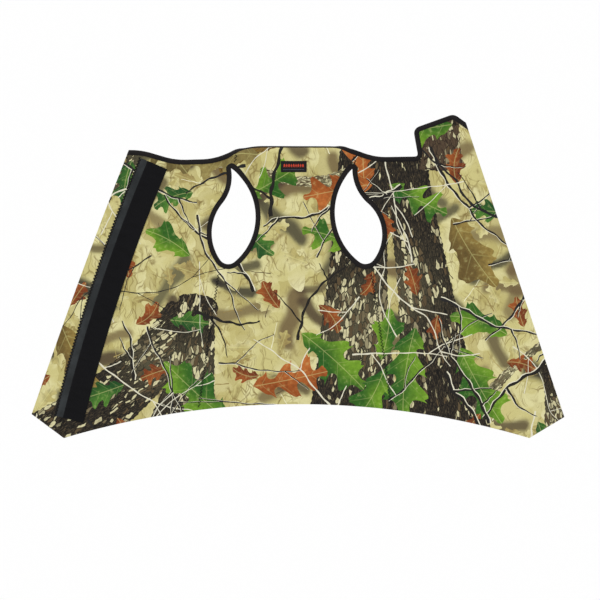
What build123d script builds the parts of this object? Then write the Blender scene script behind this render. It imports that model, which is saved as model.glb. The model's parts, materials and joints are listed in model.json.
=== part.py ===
from build123d import *
import math
import os

# A neoprene vest for a hunting dog, laid open flat on its lining with the printed face up.
# X runs across the vest, Y from the hem up to the neck, Z up from the surface it lies on.
# A chest panel with two leg holes is sewn between two side panels. Each side panel bends
# where the dog's ribs turn into its back, into a flank and a back flap. The left flap
# carries loop tape on its face, the right flap hook tape on its lining.

# ---- Driving dimensions, millimetres ----
VEST_WIDTH = 745.0  # across the two flap corners
VEST_LENGTH = 452.0  # clipped hem corner to the top of the collar tab
DRAFT_WIDTH, DRAFT_LENGTH = 745.0, 452.0  # the size that the pattern points are drafted at

LINING, FOAM, FACE = 0.5, 3.0, 0.5  # the three layers of the laminate
BINDING_CLOTH = 1.2  # folded binding tape, each side of the edge
BINDING_WIDTH = 7.0

CHEST_MIDDLE = -4.0  # the chest panel sits a little left of the middle
LEG_HOLE_WIDTH = 61.0
LEG_HOLE_HEIGHT = 134.0
LEG_HOLE_BELOW_NECK = 26.0  # from the neck edge down to a hole's tip
LEG_HOLE_IN_CHEST = 0.65  # the share of a hole's width that is cut from the chest panel
SIDES = {"left": -1, "right": 1}
HOLE_TIP = {"left": 0.56, "right": 0.40}  # the pointed top, as a share of the hole's width
HOLE_HEEL = {"left": 0.66, "right": 0.74}  # the low end, likewise

LOOP_TAPE_WIDTH = 39.5
SELVEDGE_WIDTH = 10.0
TAPE_CLOTH = 0.5
PILE_HEIGHT = 1.3
HOOK_TAPE_WIDTH = 38.0
HOOK_TAPE_INSET = 12.0
HOOK_TAPE_START = 16.0  # from the clipped corner, along the edge
HOOK_TAPE_END = 31.0  # from the collar tab's corner, along the edge
HOOK_HEIGHT = 0.7
HOOK_MARGIN = 3.0  # plain tape beside the hooks, which the stitching holds

LABEL_WIDTH, LABEL_HEIGHT, LABEL_THICK = 36.0, 13.4, 0.6
LABEL_OFFSET = -2.0  # from the middle of the chest to the label's middle
LABEL_BELOW_NECK = 31.5  # from the neck edge down to the label's middle

THREAD = 0.8  # width of a stitched line of thread
THREAD_HEIGHT = 0.4
STITCH_PITCH = 4.5
SEAM_STITCH_REACH = 1.6  # each side of the seam
TAPE_STITCH_REACH = 3.2  # beyond the edge of the tape

CLOSURE_GAP = 0.4  # left between pile and hooks when the vest is closed
BACK_BEND_ANGLE = 59.5  # degrees between a flank and its flap when the vest is closed

BEYOND = 90.0  # how far cutting shapes pass the edge that they cut


def drafted(x, y):
    """A pattern point, graded from the drafted size to the vest's size."""
    return (x * VEST_WIDTH / DRAFT_WIDTH, y * VEST_LENGTH / DRAFT_LENGTH)


# ---- Heights ----
LINING_BOTTOM = max(BINDING_CLOTH, TAPE_CLOTH + HOOK_HEIGHT)
FOAM_BOTTOM = LINING_BOTTOM + LINING
FACE_BOTTOM = FOAM_BOTTOM + FOAM
FACE_TOP = FACE_BOTTOM + FACE
BINDING_BOTTOM = LINING_BOTTOM - BINDING_CLOTH
BINDING_TOP = FACE_TOP + BINDING_CLOTH
PILE_TOP = FACE_TOP + TAPE_CLOTH + PILE_HEIGHT

# ---- Pattern points ----
LEFT_CORNER, LEFT_BULGE, LEFT_NECK = drafted(-372.5, -192.5), drafted(-306, -5), drafted(-237, 176)
RIGHT_CORNER, RIGHT_NECK = drafted(372.5, -196.5), drafted(235.5, 213)
LEFT_CLIP, HEM_MIDDLE, RIGHT_CLIP = drafted(-327.5, -226), drafted(0, -178.5), drafted(323.5, -226)
NECKLINE = [(-300, 177), (-219, 177), (-172, 163), (-118, 164.5), (-72, 183.5), (64, 183),
            (108, 167), (168, 168)]
COLLAR_TAB = [(161, 207), (218, 227.5), (262, 196)]
NECK_RADII = [100, 100, 90, 120, 120, 90, 3, 10, 12]  # at each corner but the first and last
SEAM_HEM, SEAM_NECK = (135, -185), (82, 172)  # from the middle of the chest
BEND_HEM, BEND_NECK = (235, -185), (152.5, 172)
NECK_AT_SEAM, NECK_AT_LABEL = drafted(0, 176.5)[1], drafted(0, 183.5)[1]
LOOP_TAPE_EDGE = [(-219.5, 165.5), (-287, -14.5), (-338.5, -195)]


def face_of(*edges):
    """The flat face inside a closed chain of edges."""
    return make_face(Curve() + list(edges))


def slab(plan, bottom, top):
    """A flat layer of cloth or foam with the given plan, between two heights."""
    return extrude(Pos(0, 0, bottom) * plan, top - bottom)


def past(start, end, distance):
    """The point that lies a distance past end, on the line from start."""
    step = Vector(*end) - Vector(*start)
    return Vector(*end) + step.normalized() * distance


# ---- The outline: the neck edge, which is bound, and the raw cut sides and hem ----
def below_neck():
    """Everything below the neck edge and the collar tab, past the sides and the hem."""
    neck = FilletPolyline(*[drafted(*point) for point in NECKLINE + COLLAR_TAB], radius=NECK_RADII)
    low = -VEST_LENGTH / 2 - BEYOND
    far = VEST_WIDTH / 2 + BEYOND
    start, end = neck @ 0, neck @ 1
    return face_of(neck, Polyline(end, (far, end.Y), (far, low), (-far, low), (-far, start.Y), start))


def inside_cuts():
    """Everything between the raw side edges and above the raw hem."""
    left = ThreePointArc(LEFT_CORNER, LEFT_BULGE, LEFT_NECK)
    left_top = past(LEFT_CORNER, LEFT_NECK, BEYOND)
    right_top = past(RIGHT_CORNER, RIGHT_NECK, BEYOND)
    hem = ThreePointArc(LEFT_CLIP, HEM_MIDDLE, RIGHT_CLIP)
    top = max(left_top.Y, right_top.Y) + BEYOND
    return face_of(left, Polyline(LEFT_NECK, left_top, (left_top.X, top), (right_top.X, top), right_top,
                                  RIGHT_CORNER, RIGHT_CLIP), hem, Line(LEFT_CLIP, LEFT_CORNER))


LEG_HOLE_FOOT = NECK_AT_SEAM - LEG_HOLE_BELOW_NECK - LEG_HOLE_HEIGHT


def seam_out(y):
    """How far a seam lies from the middle of the chest, at a distance along the vest."""
    hem, neck = drafted(*SEAM_HEM), drafted(*SEAM_NECK)
    return hem[0] + (neck[0] - hem[0]) * (y - hem[1]) / (neck[1] - hem[1])


def leg_hole(side):
    """The open teardrop of a leg hole, pointed at the top and cut across a seam."""
    seam = seam_out(LEG_HOLE_FOOT + LEG_HOLE_HEIGHT / 2)

    def at(across, up):
        out = seam + (across - LEG_HOLE_IN_CHEST) * LEG_HOLE_WIDTH
        return (drafted(CHEST_MIDDLE, 0)[0] + SIDES[side] * out, LEG_HOLE_FOOT + up * LEG_HOLE_HEIGHT)
    tip = at(HOLE_TIP[side], 1)
    near = ThreePointArc(tip, at(0, 0.535), at(HOLE_HEEL[side] - 0.18, 0.03))
    heel = TangentArc(near @ 1, at(HOLE_HEEL[side] + 0.15, 0.05), tangent=near % 1)
    bulge = TangentArc(heel @ 1, at(0.76, 0.64), tangent=heel % 1)
    return face_of(near, heel, bulge, TangentArc(bulge @ 1, tip, tangent=bulge % 1))


neck_face, cut_face = below_neck(), inside_cuts()
holes = {side: leg_hole(side) for side in SIDES}
bound_holes = {side: offset(holes[side], BINDING_CLOTH) for side in SIDES}
laminate = offset(neck_face, -BINDING_CLOTH) & cut_face
laminate = laminate - bound_holes["left"] - bound_holes["right"]
neck_band = (neck_face - offset(neck_face, -BINDING_WIDTH)) & cut_face
hole_bands = {side: offset(holes[side], BINDING_WIDTH) - holes[side] for side in SIDES}
middle = (neck_face & cut_face).bounding_box().center()
datum = Pos(-middle.X, -middle.Y, 0)


# ---- The seams and bends, which the panels turn about ----
def fold_line(hem, neck, side, ease=0):
    """A fold's two points, at the hem and the neck, moved outward by the ease."""
    ends = [Vector(*drafted(CHEST_MIDDLE + SIDES[side] * x, y)) for x, y in (hem, neck)]
    along = (ends[1] - ends[0]).normalized()
    outward = Vector(along.Y, -along.X) * SIDES[side]
    return [end + outward * ease for end in ends]


closure_stack = PILE_TOP + CLOSURE_GAP
outer_ease = closure_stack / math.sin(math.radians(BACK_BEND_ANGLE))
seams = {side: fold_line(SEAM_HEM, SEAM_NECK, side) for side in SIDES}
bends = {"left": fold_line(BEND_HEM, BEND_NECK, "left"),
         "right": fold_line(BEND_HEM, BEND_NECK, "right", outer_ease)}


def outside(line, side):
    """Everything on the outer side of a fold line."""
    hem, neck = line
    ends = [past(neck, hem, VEST_LENGTH), past(hem, neck, VEST_LENGTH)]
    far = SIDES[side] * 2 * VEST_WIDTH
    return face_of(Polyline(*ends, (far, ends[1].Y), (far, ends[0].Y), ends[0]))


zones = {"chest": Rectangle(3 * VEST_WIDTH, 3 * VEST_LENGTH)}
for side in SIDES:
    beyond_seam, beyond_bend = outside(seams[side], side), outside(bends[side], side)
    zones["chest"] -= beyond_seam
    zones[side + "_flank"] = beyond_seam - beyond_bend
    zones[side + "_flap"] = beyond_bend

# ---- Laminate layers and binding, panel by panel ----
parts = {}
for panel, zone in zones.items():
    plan = laminate & zone
    parts[panel + "_lining"] = slab(plan, LINING_BOTTOM, FOAM_BOTTOM)
    parts[panel + "_foam_core"] = slab(plan, FOAM_BOTTOM, FACE_BOTTOM)
    parts[panel + "_face_fabric"] = slab(plan, FACE_BOTTOM, FACE_TOP)

core = slab(laminate, LINING_BOTTOM, FACE_TOP)


def binding(band, zone):
    """Binding tape folded round the edge of the laminate, above, below and beside it."""
    return slab(band & zone, BINDING_BOTTOM, BINDING_TOP) - core


for panel, zone in zones.items():
    parts[panel + "_neck_binding"] = binding(neck_band, zone)
for side in SIDES:
    parts[side + "_leg_binding_inner"] = binding(hole_bands[side], zones["chest"])
    parts[side + "_leg_binding_outer"] = binding(hole_bands[side], zones[side + "_flank"])


# ---- Stitching ----
def zigzag(start, end, reach_near, reach_far, bottom):
    """A zigzag of thread along a line, swinging between two distances to its left."""
    start, end = Vector(*start), Vector(*end)
    along = (end - start).normalized()
    leftward = Vector(-along.Y, along.X)
    count = int((end - start).length / STITCH_PITCH) * 2
    turns = [start + along * (i * STITCH_PITCH / 2) + leftward * (reach_far if i % 2 else reach_near)
             for i in range(count)]
    steepness = abs(reach_far - reach_near) / (STITCH_PITCH / 2)
    half = leftward * THREAD / 2 * math.hypot(1, steepness)
    upper, lower = [turn + half for turn in turns], [turn - half for turn in turns]
    return slab(face_of(Polyline(*upper, *reversed(lower), upper[0])), bottom, bottom + THREAD_HEIGHT)


def on_line(line, y):
    """The point of a fold line at the given distance along the vest."""
    hem, neck = line
    return hem + (neck - hem) * ((y - hem.Y) / (neck.Y - hem.Y))


for side in SIDES:
    line = seams[side]
    below = on_line(line, LEG_HOLE_FOOT - BINDING_WIDTH - STITCH_PITCH)
    hem = on_line(line, drafted(0, -182)[1])
    parts[side + "_seam_stitching"] = zigzag(hem, below, -SEAM_STITCH_REACH, SEAM_STITCH_REACH, FACE_TOP)

# ---- Loop tape on the left flap's face ----
tape_edge = ThreePointArc(*[drafted(*point) for point in LOOP_TAPE_EDGE])
tape_centre = tape_edge.arc_center
tape_radius = tape_edge.radius
flap_side = math.copysign(1, tape_centre.X - (tape_edge @ 0.5).X)


def beside_edge(inward):
    """An arc parallel to the loop tape's outer edge, that much nearer the flank."""
    radius = tape_radius - flap_side * inward
    return [tape_centre + (tape_edge @ t - tape_centre) * (radius / tape_radius) for t in (0, 0.5, 1)]


def tape_strip(near, far):
    """The flat strip between two arcs beside the loop tape's outer edge."""
    first, second = beside_edge(near), beside_edge(far)
    return face_of(ThreePointArc(*first), Line(first[2], second[2]), ThreePointArc(*reversed(second)),
                   Line(second[0], first[0]))


off_binding = cut_face & offset(neck_face, -BINDING_WIDTH)
backing = tape_strip(0, LOOP_TAPE_WIDTH) & off_binding
pile = tape_strip(SELVEDGE_WIDTH, LOOP_TAPE_WIDTH) & off_binding
parts["loop_tape_backing"] = slab(backing, FACE_TOP, FACE_TOP + TAPE_CLOTH)
parts["loop_tape_pile"] = slab(pile, FACE_TOP + TAPE_CLOTH, PILE_TOP)


def tape_teeth():
    """The zigzag that holds the loop tape, its points showing beyond the tape's outer edge."""
    half_turns = int(tape_edge.length / STITCH_PITCH) * 2
    half = THREAD / 2 * math.hypot(1, TAPE_STITCH_REACH / (STITCH_PITCH / 2))
    upper, lower = [], []
    for i in range(4, half_turns - 2):
        edge = tape_edge @ (i / half_turns)
        outward = (edge - tape_centre).normalized() * flap_side
        reach = TAPE_STITCH_REACH - half if i % 2 else 0
        upper.append(edge + outward * (reach + half))
        lower.append(edge + outward * (reach - half))
    return face_of(Polyline(*upper, *reversed(lower), upper[0]))


parts["loop_tape_stitching"] = slab(tape_teeth() - backing, FACE_TOP, FACE_TOP + THREAD_HEIGHT)

# ---- Hook tape on the right flap's lining ----
right_edge = Vector(*RIGHT_NECK) - Vector(*RIGHT_CORNER)
edge_along = right_edge.normalized()
edge_inward = Vector(-edge_along.Y, edge_along.X)
hook_top = right_edge.length - HOOK_TAPE_END


def at_right_edge(along, inward):
    """A point on the right flap, by its distance up the raw edge and in from it."""
    return Vector(*RIGHT_CORNER) + edge_along * along + edge_inward * inward


def hook_strip(near, far, shorter=0):
    """A rectangle along the right edge, between two distances in from it."""
    low, high = HOOK_TAPE_START + shorter, hook_top - shorter
    corners = [at_right_edge(low, near), at_right_edge(high, near), at_right_edge(high, far),
               at_right_edge(low, far), at_right_edge(low, near)]
    return face_of(Polyline(*corners))


hook_far = HOOK_TAPE_INSET + HOOK_TAPE_WIDTH
hook_plan = hook_strip(HOOK_TAPE_INSET, hook_far)
hook_field = hook_strip(HOOK_TAPE_INSET + HOOK_MARGIN, hook_far - HOOK_MARGIN, HOOK_MARGIN)
hook_cloth_bottom = LINING_BOTTOM - TAPE_CLOTH
parts["hook_tape_backing"] = slab(hook_plan, hook_cloth_bottom, LINING_BOTTOM)
parts["hook_tape_hooks"] = slab(hook_field, hook_cloth_bottom - HOOK_HEIGHT, hook_cloth_bottom)
hook_rows = [zigzag(at_right_edge(HOOK_TAPE_START + THREAD, row), at_right_edge(hook_top - THREAD, row),
                    THREAD, HOOK_MARGIN - THREAD, hook_cloth_bottom - THREAD_HEIGHT)
             for row in (HOOK_TAPE_INSET, hook_far - HOOK_MARGIN)]
parts["hook_tape_stitching"] = Compound(children=[solid for row in hook_rows for solid in row.solids()])

# ---- Woven label on the chest ----
label_place = Pos(drafted(CHEST_MIDDLE, 0)[0] + LABEL_OFFSET, NECK_AT_LABEL - LABEL_BELOW_NECK)
label_plan = label_place * Rectangle(LABEL_WIDTH, LABEL_HEIGHT)
label_ring = label_place * (Rectangle(LABEL_WIDTH - 2, LABEL_HEIGHT - 2)
                            - Rectangle(LABEL_WIDTH - 2 - 2 * THREAD, LABEL_HEIGHT - 2 - 2 * THREAD))
parts["woven_label"] = slab(label_plan, FACE_TOP, FACE_TOP + LABEL_THICK)
label_top = FACE_TOP + LABEL_THICK
parts["label_stitching"] = slab(label_ring, label_top, label_top + THREAD_HEIGHT)

# ---- Write one file for each piece ----
os.makedirs("parts", exist_ok=True)
for name, shape in parts.items():
    export_step(datum * shape, f"parts/{name}.step")
for name, lines in (("seam", seams), ("bend", bends)):
    for side, line in lines.items():
        placed = [end - middle for end in line]
        print(side, name, *[f"({point.X:.3f}, {point.Y:.3f})" for point in placed])
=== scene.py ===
"""The looks of a neoprene hunting-dog vest laid open flat: print, foam, bindings, tapes and label."""

import json
import logging
import math
from dataclasses import dataclass, field
from enum import Enum
from functools import cache

import bpy
import numpy as np
from mathutils import Matrix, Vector
from mathutils.geometry import delaunay_2d_cdt

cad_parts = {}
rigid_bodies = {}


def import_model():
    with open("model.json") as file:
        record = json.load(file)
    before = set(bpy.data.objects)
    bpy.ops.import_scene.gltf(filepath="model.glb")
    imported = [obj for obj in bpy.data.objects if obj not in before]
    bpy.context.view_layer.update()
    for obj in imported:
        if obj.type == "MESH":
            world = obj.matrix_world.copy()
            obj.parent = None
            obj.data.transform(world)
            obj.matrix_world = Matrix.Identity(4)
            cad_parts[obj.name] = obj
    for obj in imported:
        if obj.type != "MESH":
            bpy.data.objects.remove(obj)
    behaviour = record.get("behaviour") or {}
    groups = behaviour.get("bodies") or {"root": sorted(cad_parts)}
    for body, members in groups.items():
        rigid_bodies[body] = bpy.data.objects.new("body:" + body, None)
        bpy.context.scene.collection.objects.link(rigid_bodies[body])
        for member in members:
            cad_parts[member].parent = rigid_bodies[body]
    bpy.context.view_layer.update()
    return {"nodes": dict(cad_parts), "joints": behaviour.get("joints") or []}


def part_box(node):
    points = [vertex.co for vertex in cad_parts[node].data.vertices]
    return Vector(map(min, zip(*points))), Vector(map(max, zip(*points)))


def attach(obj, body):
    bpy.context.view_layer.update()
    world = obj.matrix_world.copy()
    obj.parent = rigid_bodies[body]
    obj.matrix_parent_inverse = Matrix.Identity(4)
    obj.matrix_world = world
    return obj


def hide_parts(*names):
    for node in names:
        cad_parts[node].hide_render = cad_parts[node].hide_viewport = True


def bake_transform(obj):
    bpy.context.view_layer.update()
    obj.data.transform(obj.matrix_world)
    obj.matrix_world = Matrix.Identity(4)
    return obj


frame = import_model()

LOG = logging.getLogger("vest")
MM = 0.001
SIDES = ("left", "right")
Point = tuple[float, float]
Shape = tuple[np.ndarray, list, np.ndarray]


# ---- Reading the frame ----


def node_points(node: str) -> tuple[np.ndarray, np.ndarray]:
    """Read a CAD node's mesh.

    Args:
        node: The node's name.

    Returns:
        Its points in millimetres, and its triangles.
    """
    mesh = frame["nodes"][node].data
    mesh.calc_loop_triangles()
    points = np.zeros(len(mesh.vertices) * 3, np.float32)
    triangles = np.zeros(len(mesh.loop_triangles) * 3, np.int32)
    mesh.vertices.foreach_get("co", points)
    mesh.loop_triangles.foreach_get("vertices", triangles)
    return points.reshape(-1, 3).astype(float) / MM, triangles.reshape(-1, 3)


def heights(node: str) -> tuple[float, float]:
    """Return a CAD node's lowest and highest level, in millimetres."""
    low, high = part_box(node)
    return low.z / MM, high.z / MM


def outlines(*nodes: str) -> list[np.ndarray]:
    """Trace round the flat tops of CAD nodes that lie side by side.

    Args:
        nodes: The nodes' names.

    Returns:
        Closed outlines in millimetres, anticlockwise round cloth and the longest first.
    """
    corners = []
    for node in nodes:
        points, triangles = node_points(node)
        level = (points[triangles][:, :, 2] > heights(node)[1] - 0.01).all(1)
        corners.append(points[triangles[level]][:, :, :2])
    places = np.round(np.concatenate(corners).reshape(-1, 2), 3)
    merged, index = np.unique(places, axis=0, return_inverse=True)
    triangles = index.reshape(-1, 3)
    a, b, c = (merged[triangles[:, i]] for i in range(3))
    turn = (b[:, 0] - a[:, 0]) * (c[:, 1] - a[:, 1]) - (b[:, 1] - a[:, 1]) * (c[:, 0] - a[:, 0])
    triangles = np.where((turn < 0)[:, None], triangles[:, ::-1], triangles)[abs(turn) > 1e-9]
    edges = {(int(t[i]), int(t[(i + 1) % 3])) for t in triangles for i in range(3)}
    following = {start: end for start, end in edges if (end, start) not in edges}
    loops = []
    while following:
        start, at = following.popitem()
        loop = [start]
        while at in following:
            loop.append(at)
            at = following.pop(at)
        loops.append(merged[loop])
    return sorted(loops, key=lambda loop: -length_of(np.vstack([loop, loop[:1]])))


# ---- Plane geometry ----


def length_of(line: np.ndarray) -> float:
    """Return a line's length."""
    return float(np.linalg.norm(np.diff(line, axis=0), axis=1).sum())


def runs_along(line: np.ndarray) -> np.ndarray:
    """Return how far along a line each of its points lies."""
    return np.concatenate([[0], np.cumsum(np.linalg.norm(np.diff(line, axis=0), axis=1))])


def signed_area(loop: np.ndarray) -> float:
    """Return a closed outline's area, positive where it runs anticlockwise."""
    x, y = loop.T
    return float((x * np.roll(y, -1) - y * np.roll(x, -1)).sum()) / 2


def heading(turn: float) -> np.ndarray:
    """Return the direction at an angle."""
    return np.array([math.cos(turn), math.sin(turn)])


def smoothstep(low: float, high: float, value: np.ndarray) -> np.ndarray:
    """Rise smoothly from 0 at low to 1 at high."""
    t = np.clip((value - low) / (high - low), 0, 1)
    return t * t * (3 - 2 * t)


def resampled(line: np.ndarray, spacing: float, closed: bool = False) -> np.ndarray:
    """Space a line's points evenly.

    Args:
        line: The points.
        spacing: The distance wanted between them, in millimetres.
        closed: Whether the last point joins the first.

    Returns:
        The new points, the first one kept.
    """
    if closed:
        line = np.vstack([line, line[:1]])
    along = runs_along(line)
    count = max(int(round(along[-1] / spacing)), 2)
    places = np.linspace(0, along[-1], count + 1)
    points = np.stack([np.interp(places, along, line[:, i]) for i in range(line.shape[1])], 1)
    return points[:-1] if closed else points


def leftward(line: np.ndarray, closed: bool = False) -> np.ndarray:
    """Return the unit vectors square to a line at each point, on its left.

    Args:
        line: The line's points.
        closed: Whether the last point joins the first.

    Returns:
        A vector for each point.
    """
    if closed:
        tangent = np.roll(line, -1, 0) - np.roll(line, 1, 0)
    else:
        tangent = np.gradient(line, axis=0)
    tangent = tangent / np.linalg.norm(tangent, axis=1, keepdims=True)
    return np.stack([-tangent[:, 1], tangent[:, 0]], 1)


def rounded(points: list[Point] | np.ndarray, steps: int = 6) -> np.ndarray:
    """Draw a smooth line through a few points.

    Args:
        points: The points it passes.
        steps: How many points it has from each of them to the next.

    Returns:
        The line's points.
    """
    ends = np.asarray(points, float)
    padded = np.vstack([2 * ends[0] - ends[1], ends, 2 * ends[-1] - ends[-2]])
    line = []
    for i in range(1, len(padded) - 2):
        a, b, c, d = padded[i - 1:i + 3]
        for t in np.arange(steps) / steps:
            line.append(0.5 * (2 * b + (c - a) * t + (2 * a - 5 * b + 4 * c - d) * t**2
                               + (3 * b - a - 3 * c + d) * t**3))
    return np.vstack([line, ends[-1:]])


def distance_to_line(at: np.ndarray, line: np.ndarray) -> np.ndarray:
    """Return each point's distance to a line of straight runs.

    Args:
        at: The points to measure from.
        line: The line's corners.

    Returns:
        A distance for each point.
    """
    best = np.full(len(at), 1e9)
    for a, b in zip(line[:-1], line[1:]):
        run = b - a
        share = np.clip(((at - a) @ run) / max(run @ run, 1e-12), 0, 1)
        best = np.minimum(best, np.linalg.norm(at - a - share[:, None] * run, axis=1))
    return best


def grid(low: Point, high: Point, spacing: float) -> np.ndarray:
    """Return points in staggered rows over a rectangle.

    Args:
        low: The rectangle's lower left corner.
        high: Its upper right corner.
        spacing: The distance between neighbours.

    Returns:
        The points.
    """
    found = []
    for row, y in enumerate(np.arange(low[1], high[1], spacing * 0.87)):
        x = np.arange(low[0] + (row % 2) * spacing / 2, high[0], spacing)
        found.append(np.stack([x, np.full(len(x), y)], 1))
    return np.concatenate(found)


def triangulated(loops: list[np.ndarray],
                 loose: np.ndarray) -> tuple[np.ndarray, np.ndarray, list[list[int]]]:
    """Cut a plane into triangles along outlines.

    Args:
        loops: Closed outlines, which may overlap.
        loose: More points to take in.

    Returns:
        The points, the triangles that any outline covers, and the outlines over each.
    """
    points = np.concatenate([*loops, loose])
    faces, start = [], 0
    for loop in loops:
        face = list(range(start, start + len(loop)))
        faces.append(face if signed_area(loop) > 0 else face[::-1])
        start += len(loop)
    found = delaunay_2d_cdt([tuple(p) for p in points.tolist()], [], faces, 0, 1e-4, True)
    covered = [i for i, over in enumerate(found[5]) if over]
    triangles = np.array([found[2][i] for i in covered])
    return np.array([tuple(p) for p in found[0]]), triangles, [found[5][i] for i in covered]


# ---- The lie of the vest ----


@dataclass(frozen=True)
class Fold:
    """A line that a panel turns about, from the frame's joints."""

    parent: str
    child: str
    at: np.ndarray
    outward: np.ndarray
    before: float
    after: float

    @classmethod
    def named(cls, joint: str, before: float, after: float) -> "Fold":
        """Read a fold from the frame.

        Args:
            joint: The joint's name.
            before: How far inside the line the cloth would start to turn, in millimetres; kept but not used.
            after: How far outside the line it would have turned; kept but not used.

        Returns:
            The fold.
        """
        found = next(j for j in frame["joints"] if j["name"] == joint)
        at, axis = np.array(found["pos_m"][:2]) / MM, np.array(found["axis"][:2])
        outward = np.array([axis[1], -axis[0]])
        outward *= math.copysign(1, at[0] * outward[0]) / np.linalg.norm(outward)
        return cls(found["parent"], found["child"], at, outward, before, after)

    def beyond(self, at: np.ndarray) -> np.ndarray:
        """Return how far each point lies outside the line."""
        return (at[:, :2] - self.at) @ self.outward

    def bend(self, piece: bpy.types.Object) -> None:
        """Bake a piece's placement into its mesh."""
        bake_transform(piece)


SEAMS = {side: Fold.named(f"{side}_flank_fold", 30, 30) for side in SIDES}
BENDS = {side: Fold.named(f"{side}_back_fold", 0, 12) for side in SIDES}


@dataclass(frozen=True)
class Lie:
    """How the vest rests: a little uneven, with the chest's neck edge curled down."""

    band: float = 7.0
    curl_run: float = 5.9
    curl_degrees: float = 76.0
    fade: float = 26.0
    push: float = 3.6
    push_run: float = 45.0
    spread: tuple[float, float] = (15.0, 0.0)
    rise_run: float = 78.0
    mid_level: float = 3.2
    lowest: float = 60.0
    seam_gap: float = 2.0
    calm_reach: Point = (4.0, 40.0)
    hem_fade: Point = (-226.0, -150.0)
    swells: tuple[tuple[float, float, float, float, float], ...] = (
        (40, -95, 70, 60, 1.6), (-85, -80, 60, 80, 1.4), (150, 40, 30, 90, 1.1),
        (-140, 60, 26, 70, 1.2), (10, 60, 50, 45, 1.0), (165, -120, 40, 60, 1.3), (-180, -120, 36, 50, 1.2))
    neck: np.ndarray = field(default_factory=lambda: np.zeros((2, 2)))

    def shaped(self, points: np.ndarray) -> np.ndarray:
        """Move points from the flat pattern to where the cloth lies.

        Args:
            points: Points of the flat pattern, in millimetres.

        Returns:
            Where they lie.
        """
        moved = points.astype(float).copy()
        x, y = points[:, 0], points[:, 1]
        within = [SEAMS[side].beyond(points) - extra for side, extra in zip(SIDES, self.spread)]
        bend = np.minimum(-BENDS["left"].beyond(points), -BENDS["right"].beyond(points))
        calm = smoothstep(*self.calm_reach, bend)
        lift = sum(h * np.exp(-((x - cx) / rx) ** 2 - ((y - cy) / ry) ** 2)
                   for cx, cy, rx, ry, h in self.swells)
        moved[:, 2] += lift * calm * smoothstep(*self.hem_fade, y)
        share = smoothstep(self.seam_gap, self.fade + self.seam_gap, -np.maximum(*within))
        edge = np.interp(x, self.neck[:, 0], self.neck[:, 1])
        depth = edge - y
        near = (share > 1e-3) & (depth < self.rise_run) & (y > self.lowest)
        if near.any():
            moved[near] = self.curled(moved[near], depth[near], share[near], edge[near])
        return moved

    def curled(self, at: np.ndarray, depth: np.ndarray, share: np.ndarray, edge: np.ndarray) -> np.ndarray:
        """Curl the points near the chest's neck edge.

        Args:
            at: The points.
            depth: How far each lies below the neck edge.
            share: How much of the whole curl each has.
            edge: The neck edge's place along Y beside each point.

        Returns:
            The moved points.
        """
        angle = math.radians(self.curl_degrees) * share
        radius = self.curl_run / angle
        offset = at[:, 2] - self.mid_level
        start = self.band + self.curl_run
        turn = angle * np.clip((start - depth) / self.curl_run, 0, 1)
        past = np.clip(self.band - depth, 0, None)
        out = (radius + offset) * np.sin(turn) + past * np.cos(angle)
        up = (radius + offset) * np.cos(turn) - radius - past * np.sin(angle)
        drop = radius + self.band * np.sin(angle) - (radius - self.mid_level) * np.cos(angle) - self.mid_level
        ease = 1 - smoothstep(start, self.rise_run, depth)
        back = self.push * share * (1 - smoothstep(start, self.push_run, depth))
        moved = at.copy()
        in_curl = depth < start
        moved[:, 1] = np.where(in_curl, edge - start + out, at[:, 1]) + back
        moved[:, 2] = np.where(in_curl, self.mid_level + up, at[:, 2]) + drop * ease
        return moved


# ---- Shader writing ----


Socket = bpy.types.NodeSocket
Value = float | tuple | bpy.types.NodeSocket


def colour(red: int, green: int, blue: int) -> tuple[float, float, float, float]:
    """Turn a colour as a screen shows it into a shader's colour."""
    return (*(float(x) for x in linear(np.array([red, green, blue]))), 1.0)


def linear(shown: np.ndarray) -> np.ndarray:
    """Turn screen colours from 0 to 255 into linear light."""
    share = np.asarray(shown, float) / 255
    return np.where(share <= 0.04045, share / 12.92, ((share + 0.055) / 1.055) ** 2.4)


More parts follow.
